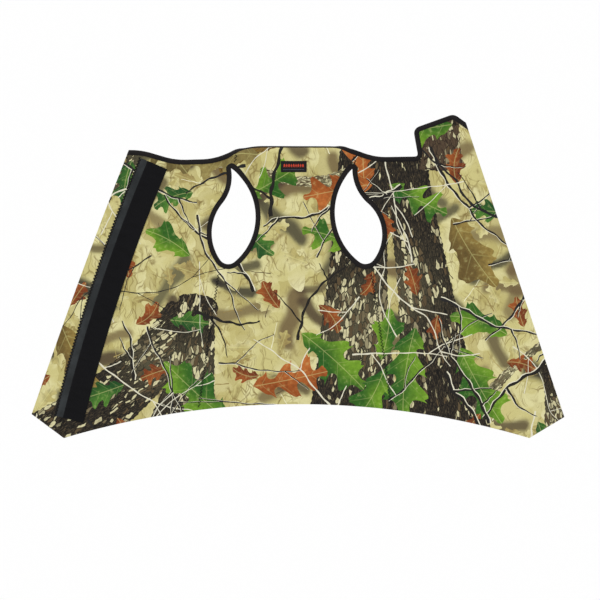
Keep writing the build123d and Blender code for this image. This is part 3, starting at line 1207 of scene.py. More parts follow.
def leaves() -> list[Leaf]:
    """Strew the sharp leaves, kind after kind.

    Returns:
        The leaves, from back to front.
    """
    chance, found = np.random.default_rng(17), []
    for number, place in enumerate(spread(chance, 62, 56)):
        kind = LEAF_KINDS[number % len(LEAF_KINDS)]
        size = kind.length * chance.uniform(0.85, 1.1)
        half = heading(chance.uniform(0, 2 * np.pi)) * size / 2
        found.append(Leaf(tuple(place - half), tuple(place + half), size * kind.wide, kind.tint, kind.lobes,
                          kind.depth, chance.uniform(-6, 6), number * 3.7))
    return found


def fallen_leaves(count: int = 130) -> list[Leaf]:
    """Strew faint leaves over the print's ground.

    Args:
        count: How many.

    Returns:
        The leaves.
    """
    chance, found = np.random.default_rng(21), []
    for place in chance.uniform(np.negative(PRINT_REACH), PRINT_REACH, (count, 2)):
        turn, size = chance.uniform(0, 2 * np.pi), chance.uniform(18, 42)
        tint = Tint.FADED if chance.random() < 0.7 else Tint.DUSKY
        reach, lobes = size * chance.uniform(0.24, 0.42), int(chance.integers(2, 4))
        found.append(Leaf(tuple(place), tuple(place + size * heading(turn)), reach, tint, lobes, 0.55))
    return found


def wandering(chance: np.random.Generator, start: np.ndarray, turn: float, size: float) -> list[Point]:
    """Let a twig wander.

    Args:
        chance: Where the random numbers come from.
        start: Where it starts.
        turn: The angle at which it sets out.
        size: Its length.

    Returns:
        The points of its route, a kink every few centimetres.
    """
    kinks = max(2, round(size / 26))
    turns = turn + np.cumsum(chance.normal(0, 0.2, kinks))
    steps = size / kinks * np.stack([np.cos(turns), np.sin(turns)], 1)
    return [tuple(point) for point in np.cumsum(np.vstack([start, steps]), axis=0)]


def fallen_twigs(count: int = 90) -> list[Twig]:
    """Strew faint stalks over the print's ground.

    Args:
        count: How many.

    Returns:
        The stalks.
    """
    chance, found = np.random.default_rng(8), []
    for place in chance.uniform(np.negative(PRINT_REACH), PRINT_REACH, (count, 2)):
        route = wandering(chance, place, chance.uniform(0, np.pi), chance.uniform(14, 46))
        found.append(Twig(route, 1.3, 0.6, 0, STALK_INKS[int(chance.integers(0, len(STALK_INKS)))]))
    return found


def twigs() -> list[Twig]:
    """Let thin branches wander over the print, with side twigs.

    Returns:
        The twigs, each followed by its side twigs.
    """
    chance, found = np.random.default_rng(12), []
    for place in spread(chance, 60, 62):
        turn, size = chance.uniform(0, 2 * np.pi), chance.uniform(80, 210)
        ink, share = TWIG_KINDS[int(chance.integers(0, len(TWIG_KINDS)))]
        wide, pale = chance.uniform(2.4, 4.2) * share, int(chance.integers(-1, 2))
        route = wandering(chance, place, turn, size)
        found.append(Twig(route, wide, wide * 0.45, pale, ink))
        for fork in route[1:-1:3]:
            side = turn + chance.choice((-1, 1)) * chance.uniform(0.5, 1.0)
            branch = wandering(chance, np.array(fork), side, chance.uniform(25, 70))
            found.append(Twig(branch, wide * 0.6, 1.0, pale, ink))
    return found


class WoodlandPrint:
    """The whole print, cut along every motif's edge so that each stays sharp."""

    def __init__(self) -> None:
        """Gather the motifs from back to front."""
        self.blurs = blurs()
        scattered = [part for twig in fallen_twigs() for part in twig.parts()]
        self.motifs = [*fallen_leaves(), *scattered, *openings(), *trunks(), *leaves()]
        self.motifs += [part for twig in twigs() for part in twig.parts()]

    def ground(self, at: np.ndarray) -> Paint:
        """Return the print's ground at some points.

        Args:
            at: Points in millimetres.

        Returns:
            The paint at each.
        """
        ink = np.tile(linear(KHAKI), (len(at), 1))
        warp = 2.5 * np.sin(at[:, ::-1] * [0.13, 0.11] + 1.7 * np.sin(at * 0.05))
        for blur in self.blurs:
            away = distance_to_line(at + warp, np.array([blur.start, blur.end], float))
            share = blur.strength * (1 - smoothstep(blur.wide * 0.25, blur.wide * 0.75, away))
            ink += (linear(blur.ink) - ink) * share[:, None]
        pale = ink.max(1) / linear(KHAKI).max()
        kind = np.zeros((len(at), 3))
        kind[:, 2] = smoothstep(0.3, 1, pale)
        return Paint(ink, kind, np.zeros((len(at), 3)))

    def painted(self, corners: np.ndarray, over: np.ndarray) -> Paint:
        """Paint triangles.

        Args:
            corners: Each triangle's three corners.
            over: The motif on each, or -1 on the ground.

        Returns:
            The paint at each corner.
        """
        flat = corners.reshape(-1, 2)
        whose = np.repeat(over, 3)
        result = self.ground(flat)
        for number in np.unique(over[over >= 0]):
            here = whose == number
            part = self.motifs[number].paint(flat[here])
            result.ink[here], result.kind[here], result.motif[here] = part.ink, part.kind, part.motif
        return result


# ---- Making pieces ----


@dataclass
class Piece:
    """One piece of the vest: where it belongs and how it is finished."""

    name: str
    material: bpy.types.Material
    slot: str
    stands_for: tuple[str, ...] = ()
    fold: Fold | None = None
    body: str = "chest"
    smooth_below: float = 35.0

    def placed(self, made: bpy.types.Object) -> bpy.types.Object:
        """Finish an object as this piece.

        Args:
            made: The object, with its final mesh.

        Returns:
            The same object, on its body, or with its placement baked in where it has a fold.
        """
        made.name = made.data.name = self.name
        made.data.materials.clear()
        made.data.materials.append(self.material)
        select_only(made)
        bpy.ops.object.shade_smooth_by_angle(angle=math.radians(self.smooth_below))
        made.select_set(False)
        if self.stands_for:
            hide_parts(*self.stands_for)
        if self.fold:
            self.fold.bend(made)
        else:
            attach(made, self.body)
        LOG.info("%s: %d faces", self.name, len(made.data.polygons))
        return made


def select_only(made: bpy.types.Object) -> None:
    """Select one object and nothing else."""
    bpy.ops.object.select_all(action="DESELECT")
    made.select_set(True)
    bpy.context.view_layer.objects.active = made


def fill(data: bpy.types.bpy_prop_collection, part: str, values: np.ndarray) -> None:
    """Set one property of every element of a mesh's data."""
    data.foreach_set(part, values.astype(np.float32).ravel())


def coordinates(made: bpy.types.Object) -> np.ndarray:
    """Return an object's points in millimetres."""
    points = np.zeros(len(made.data.vertices) * 3, np.float32)
    made.data.vertices.foreach_get("co", points)
    return points.reshape(-1, 3).astype(float) / MM


def new_object(name: str, points: np.ndarray, faces: np.ndarray | list,
               cloth: np.ndarray | None = None) -> bpy.types.Object:
    """Make an object from points in millimetres.

    Args:
        name: Its name.
        points: Its points.
        faces: Its faces.
        cloth: The cloth's own coordinates at each point, or None for the points themselves.

    Returns:
        The object, in metres.
    """
    mesh = bpy.data.meshes.new(name)
    mesh.from_pydata((points * MM).tolist(), [], faces if isinstance(faces, list) else faces.tolist())
    attribute = mesh.attributes.new("cloth", "FLOAT_VECTOR", "POINT")
    fill(attribute.data, "vector", points if cloth is None else cloth)
    made = bpy.data.objects.new(name, mesh)
    bpy.context.scene.collection.objects.link(made)
    return made


def thickened(made: bpy.types.Object, thickness: float) -> bpy.types.Object:
    """Give a flat cloth its thickness, downward.

    Args:
        made: The object.
        thickness: Its thickness, in millimetres.

    Returns:
        The same object, closed.
    """
    solid = made.modifiers.new("thickness", "SOLIDIFY")
    solid.thickness, solid.offset = thickness * MM, -1
    apply_modifiers(made)
    fill(made.data.attributes["cloth"].data, "vector", coordinates(made))
    return made


def apply_modifiers(made: bpy.types.Object) -> None:
    """Apply every modifier of an object."""
    select_only(made)
    for modifier in list(made.modifiers):
        bpy.ops.object.modifier_apply(modifier=modifier.name)
    made.select_set(False)


def moved(made: bpy.types.Object, lie: Lie) -> bpy.types.Object:
    """Lay an object's points as the vest lies."""
    fill(made.data.vertices, "co", lie.shaped(coordinates(made)) * MM)
    made.data.update()
    return made


def tube(line: np.ndarray, radius: float, sides: int = 6, closed: bool = False) -> Shape:
    """Run a round thread along a line.

    Args:
        line: The line's points.
        radius: The thread's radius.
        sides: How many sides it has.
        closed: Whether the line closes on itself.

    Returns:
        Points, faces and the cloth's coordinates, along the thread and round it.
    """
    tangent = (np.roll(line, -1, 0) - np.roll(line, 1, 0)) if closed else np.gradient(line, axis=0)
    tangent /= np.linalg.norm(tangent, axis=1, keepdims=True)
    beside = np.cross(tangent, [0, 0, 1.0])
    beside /= np.maximum(np.linalg.norm(beside, axis=1, keepdims=True), 1e-9)
    above = np.cross(beside, tangent)
    angles = np.linspace(0, 2 * np.pi, sides, endpoint=False)
    ring = (np.cos(angles)[None, :, None] * beside[:, None] + np.sin(angles)[None, :, None] * above[:, None])
    points = (line[:, None] + ring * radius).reshape(-1, 3)
    runs = runs_along(line)
    cloth = np.stack([np.repeat(runs, sides), np.tile(angles * radius, len(line)), 0 * points[:, 0]], 1)
    return points, skin(len(line), sides, closed), cloth


def skin(rows: int, sides: int, closed: bool) -> list[list[int]]:
    """Return the faces that join rows of points into a closed skin.

    Args:
        rows: How many rows there are.
        sides: How many points each has.
        closed: Whether the last row joins the first.

    Returns:
        The faces, with both ends closed.
    """
    faces = []
    for i in range(rows if closed else rows - 1):
        a, b = i * sides, (i + 1) % rows * sides
        faces += [[a + k, a + (k + 1) % sides, b + (k + 1) % sides, b + k] for k in range(sides)]
    if not closed:
        faces += [list(range(sides))[::-1], [(rows - 1) * sides + k for k in range(sides)]]
    return faces


def joined(parts: list[Shape]) -> Shape:
    """Put several meshes into one.

    Args:
        parts: The meshes.

    Returns:
        Their points, faces and cloth coordinates.
    """
    faces, start = [], 0
    for points, part_faces, _ in parts:
        faces += [[v + start for v in face] for face in part_faces]
        start += len(points)
    return np.concatenate([p[0] for p in parts]), faces, np.concatenate([p[2] for p in parts])


def profile_along(rail: np.ndarray, inward: np.ndarray, profile: list[Point], closed: bool,
                  runs: np.ndarray | None = None) -> Shape:
    """Run a section along a rail in the plane.

    Args:
        rail: The rail's points.
        inward: The unit vector across the section at each.
        profile: The section's corners: how far inward, and the height.
        closed: Whether the rail closes on itself.
        runs: How far along the cloth each rail point is, or None to measure it.

    Returns:
        Points, faces and the cloth's coordinates, along the rail and round the section.
    """
    section = np.array(profile, float)
    flat = rail[:, None] + inward[:, None] * section[None, :, :1]
    level = np.broadcast_to(section[None, :, 1:], (*flat.shape[:2], 1))
    points = np.concatenate([flat, level], 2).reshape(-1, 3)
    if runs is None:
        runs = runs_along(rail)
    around = runs_along(section)
    cloth = np.stack([np.repeat(runs, len(section)), np.tile(around, len(rail)), 0 * points[:, 0]], 1)
    return points, skin(len(rail), len(section), closed), cloth


def sides_of(loop: np.ndarray, least: float = 30.0) -> list[np.ndarray]:
    """Split a closed outline at its corners.

    Args:
        loop: The outline.
        least: The sharpest turn, in degrees, that isn't a corner.

    Returns:
        Its sides, the longest first.
    """
    before, after = loop - np.roll(loop, 1, 0), np.roll(loop, -1, 0) - loop
    turn = np.arctan2(before[:, 0] * after[:, 1] - before[:, 1] * after[:, 0], (before * after).sum(1))
    at = np.flatnonzero(abs(np.degrees(turn)) > least)
    runs = zip(at, [*at[1:], at[0] + len(loop)])
    return sorted((loop[np.arange(a, b + 1) % len(loop)] for a, b in runs), key=lambda side: -length_of(side))


def stitches(path: np.ndarray, level: float, up: int = 1, pitch: float = 3.2, run: float = 2.5,
             radius: float = 0.24) -> list[Shape]:
    """Lay a row of straight stitches.

    Args:
        path: The line they follow in the plane.
        level: The surface they lie on.
        up: 1 on a top surface, -1 on an underside.
        pitch: The distance from one to the next.
        run: Each stitch's length.
        radius: The thread's radius.

    Returns:
        A tube for each stitch.
    """
    along = runs_along(path)
    tubes = []
    for start in np.arange(0.3, along[-1] - run, pitch):
        places = start + run * np.array([0, 0.16, 0.5, 0.84, 1.0])
        plan = np.stack([np.interp(places, along, path[:, i]) for i in range(2)], 1)
        rise = level + up * radius * np.array([-1.4, 0.5, 0.8, 0.5, -1.4])
        tubes.append(tube(np.column_stack([plan, rise]), radius, 5))
    return tubes


def zigzag(line: np.ndarray, near: float, far: float, level: float, pitch: float = 4.5,
           radius: float = 0.38, up: int = 1) -> Shape:
    """Run a zigzag thread along a line.

    Args:
        line: The line it follows in the plane.
        near: The swing's first turn, to the line's left.
        far: The swing's second turn, to the line's left.
        level: The surface it lies on.
        pitch: The distance between turns on one side.
        radius: The thread's radius.
        up: 1 on a top surface, -1 on an underside.

    Returns:
        The thread's tube.
    """
    spacing, sharpness = 0.3, 0.985
    path = resampled(line, spacing)
    along = np.arange(len(path)) * spacing
    swing = np.arcsin(sharpness * np.sin(2 * np.pi * along / pitch)) / np.arcsin(sharpness)
    plan = path + leftward(path) * ((near + far) / 2 + (far - near) / 2 * swing)[:, None]
    rise = level + up * radius * (0.75 - 0.7 * abs(swing) ** 6)
    return tube(np.column_stack([plan, rise]), radius, 6)


# ---- The finishes ----


PRINT = PrintedJersey()
FOAM = Foam()
PILE = Pile()
HOOKS = Moulded()
LINING = Cloth("plain_jersey", (20, 20, 22), (36, 36, 38), Weave.JERSEY, 0.55)
BINDING = Cloth("edge_binding", (12, 9, 10), (32, 27, 28), Weave.RIBS, 0.9, 0.18)
TAPE = Cloth("tape_cloth", (28, 31, 32), (58, 62, 64), Weave.TWILL, 0.7, 0.16)
LABEL = Cloth("label_cloth", (16, 15, 17), (32, 30, 33), Weave.TWILL, 0.4, 0.06)
THREAD = Cloth("black_thread", (10, 9, 10), (30, 28, 28), Weave.TWIST, 0.5, 0.1)
RED_THREAD = Cloth("label_red_thread", (186, 52, 34), (206, 84, 56), Weave.TWILL, 0.35, 0.06)
GREY_THREAD = Cloth("label_grey_thread", (92, 100, 122), (112, 120, 140), Weave.TWILL, 0.35, 0.06)


# ---- The vest's sub-assemblies ----


@dataclass(frozen=True)
class Zone:
    """A stretch of laminate that turns about one fold."""

    name: str
    node: str
    side: str
    fold: Fold
    middle: float = -4.0

    def outline(self) -> np.ndarray:
        """Return its edge; the chest's two halves meet at the chest's middle.

        Returns:
            The outline's points.
        """
        loop = outlines(f"{self.node}_face_fabric")[0]
        if self.node == "chest":
            loop = clipped(loop, self.middle, -1 if self.side == "left" else 1)
        return loop


def clipped(loop: np.ndarray, x: float, keep: int) -> np.ndarray:
    """Cut an outline at an X and keep what lies below (-1) or above (1) it.

    Args:
        loop: The outline.
        x: Where it is cut.
        keep: -1 or 1.

    Returns:
        The outline of what is kept.
    """
    found = []
    for a, b in zip(loop, np.roll(loop, -1, 0)):
        if keep * (a[0] - x) >= 0:
            found.append(a)
        if (a[0] - x) * (b[0] - x) < 0:
            found.append(a + (x - a[0]) / (b[0] - a[0]) * (b - a))
    return np.array(found)


def filled_in(loop: np.ndarray, spacing: float) -> np.ndarray:
    """Add points along an outline's long edges and keep its own.

    Args:
        loop: The outline.
        spacing: The longest edge wanted, in millimetres.

    Returns:
        The outline's points.
    """
    found = []
    for a, b in zip(loop, np.roll(loop, -1, 0)):
        count = max(int(np.ceil(np.linalg.norm(b - a) / spacing)), 1)
        found.append(a + (b - a) * (np.arange(count) / count)[:, None])
    return np.concatenate(found)


ZONES = [zone for side in SIDES for zone in (
    Zone(f"{side}_chest", "chest", side, SEAMS[side]),
    Zone(f"{side}_flank", f"{side}_flank", side, SEAMS[side]),
    Zone(f"{side}_flap", f"{side}_flap", side, BENDS[side]))]


@dataclass
class Laminate:
    """The three bonded layers of every panel: printed face, foam and lining."""

    lie: Lie
    neck: np.ndarray
    spacing: float = 4.0
    coarse: float = 8.0
    groove: float = 0.4
    groove_reach: float = 1.5
    plan: tuple[Point, Point] = ((-380.0, -230.0), (380.0, 232.0))
    chest_reach: Point = (-88, 80)
    curl_rows: tuple[float, ...] = (1.5, 4, 6.5, 8, 9.2, 10.4, 11.6, 12.8, 14, 17)
    seam_rows: tuple[float, ...] = (-2.6, -1, 1, 2.6)
    seam_reach: float = 420
    row_spacing: float = 3.0

    def build(self) -> None:
        """Make each layer of each zone."""
        outlines_of = [zone.outline() for zone in ZONES]
        self.printed(outlines_of)
        for layer, spacing in (("foam_core", self.coarse), ("lining", self.coarse)):
            edges = [filled_in(loop, spacing) for loop in outlines_of]
            points, triangles, over = self.cut(edges, [], spacing)
            for number, zone in enumerate(ZONES):
                self.plain(zone, layer, points, triangles[[number in o for o in over]])

    def loose_points(self, spacing: float) -> np.ndarray:
        """Return points over the whole vest, closer together where it bends.

        Args:
            spacing: The distance between neighbours on the flat.

        Returns:
            The points.
        """
        found = [grid(*self.plan, spacing)]
        low, high = self.chest_reach
        chest = self.neck[(self.neck[:, 0] > low) & (self.neck[:, 0] < high)]
        found += [resampled(chest, self.row_spacing) - [0, depth] for depth in self.curl_rows]
        for side in SIDES:
            fold = SEAMS[side]
            along = np.array([-fold.outward[1], fold.outward[0]])
            run = np.outer(np.arange(-self.seam_reach, self.seam_reach, self.row_spacing), along)
            found += [fold.at + run + fold.outward * off for off in self.seam_rows]
        return np.concatenate(found)

    def cut(self, loops: list[np.ndarray], motifs: list[np.ndarray], spacing: float) -> tuple:
        """Cut the vest's plan into triangles, and drop those outside every zone."""
        points, triangles, over = triangulated([*loops, *motifs], self.loose_points(spacing))
        kept = [i for i, o in enumerate(over) if min(o) < len(loops)]
        return points, triangles[kept], [over[i] for i in kept]

    def level(self, points: np.ndarray, top: float) -> np.ndarray:
        """Give plan points a layer's height, a little lower along the seams."""
        dip = sum(np.exp(-(SEAMS[side].beyond(points) / self.groove_reach) ** 2) for side in SIDES)
        return np.column_stack([points, top - self.groove * dip])

    def printed(self, loops: list[np.ndarray]) -> None:
        """Make the printed face of each zone.

        Args:
            loops: The zones' outlines.
        """
        design = WoodlandPrint()
        motifs = [motif.outline() for motif in design.motifs]
        edges = [filled_in(loop, self.spacing) for loop in loops]
        points, triangles, over = self.cut(edges, motifs, self.spacing)
        top = np.array([max(o) - len(loops) if max(o) >= len(loops) else -1 for o in over])
        for number, zone in enumerate(ZONES):
            mine = np.array([number in o for o in over])
            used, faces = np.unique(triangles[mine], return_inverse=True)
            faces = faces.reshape(-1, 3)
            low, high = heights(f"{zone.node}_face_fabric")
            made = new_object(zone.name, self.level(points[used], high), faces)
            paint = design.painted(points[used][faces], top[mine])
            for name, values in (("kind", paint.kind), ("motif", paint.motif)):
                fill(made.data.attributes.new(name, "FLOAT_VECTOR", "CORNER").data, "vector", values)
            inks = np.column_stack([paint.ink, np.ones(len(paint.ink))])
            fill(made.data.attributes.new("ink", "FLOAT_COLOR", "CORNER").data, "color", inks)
            moved(thickened(made, high - low), self.lie)
            Piece(f"{zone.name}_face", PRINT.material(), PRINT.name, (f"{zone.node}_face_fabric",),
                  zone.fold).placed(made)

    def plain(self, zone: Zone, layer: str, points: np.ndarray, triangles: np.ndarray) -> None:
        """Make a zone's foam or lining.

        Args:
            zone: The zone.
            layer: The layer's name in its nodes.
            points: The plan's points.
            triangles: The zone's triangles.
        """
        finish = FOAM if layer == "foam_core" else LINING
        node = f"{zone.node}_{layer}"
        low, high = heights(node)
        used, faces = np.unique(triangles, return_inverse=True)
        made = new_object(zone.name, self.level(points[used], high), faces.reshape(-1, 3))
        moved(thickened(made, high - low), self.lie)
        name = f"{zone.name}_{layer.split('_')[0]}_layer"
        Piece(name, finish.material(), finish.name, (node,), zone.fold).placed(made)


@dataclass
class Bindings:
    """The folded tape round both leg holes and along the neck, with its stitches."""

    lie: Lie
    neck: np.ndarray
    neck_inward: np.ndarray
    width: float = 7.0
    spacing: float = 2.4
    stitch_inset: float = 1.5
    stitch_levels: Point = (6.38, 0.02)
    section: tuple[Point, ...] = (
        (0, 5.2), (0.3, 6.0), (1.5, 6.4), (4.5, 6.35), (6.0, 5.9), (6.8, 4.8), (7, 3.2), (6.8, 1.6),
        (6.0, 0.5), (4.5, 0.05), (1.5, 0), (0.3, 0.4), (0, 1.2), (5.8, 1.2), (5.8, 5.2))

    def build(self) -> None:
        """Make every binding."""
        for side in SIDES:
            self.leg_ring(side)
        for zone in ZONES:
            self.neck_run(zone)

    def finished(self, name: str, parts: list, nodes: tuple[str, ...], fold: Fold) -> None:
        """Make one piece of binding.

        Args:
            name: The piece's name.
            parts: Its tape and its stitches.
            nodes: The nodes that it stands for.
            fold: The fold that it turns about.
        """
        points, faces, cloth = joined(parts)
        made = moved(new_object(name, points, faces, cloth), self.lie)
        Piece(name, BINDING.material(), BINDING.name, nodes, fold, smooth_below=50).placed(made)

    def leg_ring(self, side: str) -> None:
        """Make the ring of binding round a leg hole.

        Args:
            side: The vest's side.
        """
        nodes = (f"{side}_leg_binding_inner", f"{side}_leg_binding_outer")
        rail = resampled(outlines(*nodes)[0], self.spacing * 0.75, closed=True)
        inward = leftward(rail, closed=True)
        parts = [profile_along(rail, inward, list(self.section), closed=True)]
        row = rail + inward * self.stitch_inset
        row = np.vstack([row, row[:1]])
        parts += self.stitched(row)
        self.finished(f"{side}_leg_ring", parts, nodes, SEAMS[side])

    def stitched(self, row: np.ndarray) -> list[Shape]:
        """Return the stitches that show along a row on both sides."""
        top, bottom = self.stitch_levels
        return stitches(row, top) + stitches(row, bottom, up=-1)

    def neck_run(self, zone: Zone) -> None:
        """Make a zone's stretch of the neck binding.

        Args:
            zone: The zone.
        """
        past_seam, past_bend = SEAMS[zone.side].beyond(self.neck), BENDS[zone.side].beyond(self.neck)
        if zone.node == "chest":
            outward = 1 if zone.side == "right" else -1
            keep = (outward * (self.neck[:, 0] - zone.middle), -past_seam)
        elif zone.node.endswith("flank"):
            keep = (past_seam, -past_bend)
        else:
            keep = (past_bend,)
        rail, inward, runs = self.between(keep)
        section = [(self.width - off, level) for off, level in self.section[::-1]]
        parts = [profile_along(rail, inward, section, closed=False, runs=runs)]
        row = rail + inward * (self.width - self.stitch_inset)
        parts += self.stitched(row)
        self.finished(f"{zone.name}_neck_tape", parts, (f"{zone.node}_neck_binding",), zone.fold)

    def between(self, keep: tuple[np.ndarray, ...]) -> tuple[np.ndarray, np.ndarray, np.ndarray]:
        """Take the stretch of the neck's rail where every given distance is positive.

        Args:
            keep: For each limit, each rail point's distance inside it.

        Returns:
            The stretch's points, inward vectors and places along the rail.
        """
        runs = runs_along(self.neck)
        ends = [runs[0], runs[-1]]
        for distance in keep:
            for i in np.flatnonzero(np.diff(np.sign(distance))):
                share = distance[i] / (distance[i] - distance[i + 1])
                place = runs[i] + share * (runs[i + 1] - runs[i])
                if distance[i] < 0:
                    ends[0] = max(ends[0], place)
                else:
                    ends[1] = min(ends[1], place)
        count = max(int((ends[1] - ends[0]) / self.spacing), 2)
        places = np.linspace(*ends, count + 1)
        rail, inward = (np.stack([np.interp(places, runs, values[:, i]) for i in range(2)], 1)
                        for values in (self.neck, self.neck_inward))
        return rail, inward, places


def neck_rail(spacing: float = 2.4, width: float = 7.0) -> tuple[np.ndarray, np.ndarray]:
    """Find the neck's free edge, from left to right.

    Args:
        spacing: The distance between its points.
        width: The binding's width.

    Returns:
        The points, and the vector across the binding at each, for each unit of its width.
    """
    panels = ("left_flap", "left_flank", "chest", "right_flank", "right_flap")
    nodes = [f"{panel}_neck_binding" for panel in panels]
    sides = sides_of(outlines(*nodes)[0])
    edge, inner = sorted(sides[:2], key=lambda side: -side[:, 1].mean())
    edge = resampled(edge[::-1], spacing)
    inward = -leftward(edge)
    inward[0], inward[-1] = (inner[0] - edge[0]) / width, (inner[-1] - edge[-1]) / width
    eased = 4
    for step in range(1, eased):
        share = (eased - step) / eased
        for end in (0, -1):
            at = step if end == 0 else -1 - step
            inward[at] = inward[end] * share + inward[at] * (1 - share)
    return edge, inward


@dataclass
class SeamStitching:
    """The zigzag threads that run down both seams, below the leg holes and above them."""

    lie: Lie
    reach: float = 1.6
    pitch: float = 4.5
    above: Point = (158, 168)
    sunk: float = 0.2

    def build(self, side: str) -> None:
        """Make one seam's thread.

        Args:
            side: The vest's side.
        """
        fold, node = SEAMS[side], f"{side}_seam_stitching"
        low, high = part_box(node)
        along = np.array([-fold.outward[1], fold.outward[0]])
        along *= math.copysign(1, along[1])
        level = heights(node)[0] - self.sunk
        parts = []
        for start, end in ((low.y / MM, high.y / MM), self.above):
            line = np.array([fold.at + along * (y - fold.at[1]) / along[1] for y in (start, end)])
            parts.append(zigzag(line, -self.reach, self.reach, level, self.pitch))
        made = moved(new_object(node, *joined(parts)), self.lie)
        Piece(f"{side}_seam_thread", THREAD.material(), THREAD.name, (node,), fold,
              smooth_below=60).placed(made)


def lay_tape(name: str, node: str, edges: tuple[np.ndarray, np.ndarray], section: list[Point], fold: Fold) -> None:
    """Make a tape's woven cloth.

    Args:
        name: The piece's name.
        node: The node that it stands for.
        edges: The rail that its section runs along, and the tape's other edge.
        section: The section's corners: how far across, and the height.
        fold: The fold that it turns about.
    """
    outer, inner = edges
    wide = float(np.linalg.norm(inner[0] - outer[0]))
    made = new_object("tape", *profile_along(outer, (inner - outer) / wide, section, closed=False))
    Piece(name, TAPE.material(), TAPE.name, (node,), fold).placed(made)


@dataclass
class LoopTape:
    """The loop half of the closure, sewn along the left flap's edge."""

    side: str = "left"
    tooth: float = 3.0
    fuzz: float = 0.16
    shoulder: float = 1.0
    tails: int = 7
    tail_level: float = 5.45

    def build(self) -> None:
        """Make the tape, its pile and its thread."""
        fold = BENDS[self.side]
        outer, inner = self.edges("loop_tape_backing", 3.0)
        low, high = heights("loop_tape_backing")
        wide = float(np.linalg.norm(inner[0] - outer[0]))
        section = [(0.0, low), (-0.12, low + 0.28), (0.15, high), (0.8, high - 0.08), (1.6, high),
                   (wide / 2, high), (wide - 0.3, high), (wide, high - 0.15), (wide, low)]
        lay_tape("loop_tape_cloth", "loop_tape_backing", (outer, inner), section[::-1], fold)
        self.pile(fold)
        line = outer[::-1] if outer[0, 1] > outer[-1, 1] else outer
        along = (line[-1] - line[0]) / np.linalg.norm(line[-1] - line[0])
        level = heights("loop_tape_stitching")[0]
        teeth = [zigzag(line, -1.0, self.tooth, level + 0.1, radius=0.42)]
        teeth += [zigzag(line + along * shift, -0.8, self.tooth - 0.5, level + 0.05, radius=0.4)
                  for shift in (-0.75, 0.75)]
        made = new_object("thread", *joined([*teeth, *self.frayed(outer, inner)]))
        Piece("loop_tape_thread", THREAD.material(), THREAD.name, ("loop_tape_stitching",), fold,
              smooth_below=60).placed(made)

    def edges(self, node: str, spacing: float) -> tuple[np.ndarray, np.ndarray]:
        """Return a tape's outboard and inboard edges, with points that match.

        Args:
            node: The node.
            spacing: The distance between points.

        Returns:
            Both edges, each from the same end.
        """
        first, second = sides_of(outlines(node)[0])[:2]
        if first[:, 0].mean() > second[:, 0].mean():
            first, second = second, first
        outer, inner = first, second[::-1]
        outer = resampled(outer, spacing)
        count = len(outer) - 1
        inner = resampled(inner, length_of(inner) / count)
        return outer, inner[:count + 1]

    def pile(self, fold: Fold) -> None:
        """Make the brushed loops: a block with soft shoulders and an uneven top.

        Args:
            fold: The fold that the tape turns about.
        """
        low, high = heights("loop_tape_pile")
        outer, inner = self.edges("loop_tape_pile", 1.3)
        wide = float(np.linalg.norm(inner[0] - outer[0]))
        shoulder = np.array([0, 0.05, 0.3, 0.7])
        across = np.concatenate([shoulder, np.arange(1.4, wide - 1, 1.1), wide - shoulder[::-1]])
        rise = (high - 0.05 - low) * smoothstep(-0.5, self.shoulder, np.minimum(across, wide - across))
        section = [(wide, low), (0.0, low), *zip(across.tolist(), (low + rise).tolist())]
        points, faces, cloth = profile_along(outer, (inner - outer) / wide, section, closed=False)
        upper = points[:, 2] > low + 0.3
        shake = np.random.default_rng(4).uniform(-1, 1, (len(points), 3)) * self.fuzz
        points[upper] += shake[upper]
        points[:, 2] = np.minimum(points[:, 2], high)
        made = new_object("pile", points, faces, cloth)
        Piece("loop_tape_pile_loops", PILE.material(), PILE.name, ("loop_tape_pile",), fold,
              smooth_below=70).placed(made)

    def frayed(self, outer: np.ndarray, inner: np.ndarray) -> list:
        """Return loose ends of thread at the tape's lower end.

        Args:
            outer: The tape's outboard edge.
            inner: Its inboard edge.

        Returns:
            A tube for each.
        """
        end = -1 if outer[-1, 1] < outer[0, 1] else 0
        across = (inner[end] - outer[end]) / np.linalg.norm(inner[end] - outer[end])
        down = outer[end] - outer[end - 2 if end == -1 else 2]
        down /= np.linalg.norm(down)
        chance, tubes = np.random.default_rng(9), []
        for number in range(self.tails):
            start = outer[end] + across * (6 + number * 1.1) - down * 0.5
            reach, sway = 8 + 9 * chance.random(), chance.uniform(-3, 3)
            t = np.linspace(0, 1, 12)[:, None]
            plan = start + down * reach * t + across * (sway * t**2 + 0.8 * np.sin(5 * t + number))
            rise = self.tail_level + 0.5 * np.sin(np.pi * t[:, 0]) * chance.random()
            tubes.append(tube(np.column_stack([plan, rise]), 0.2, 5))
        return tubes


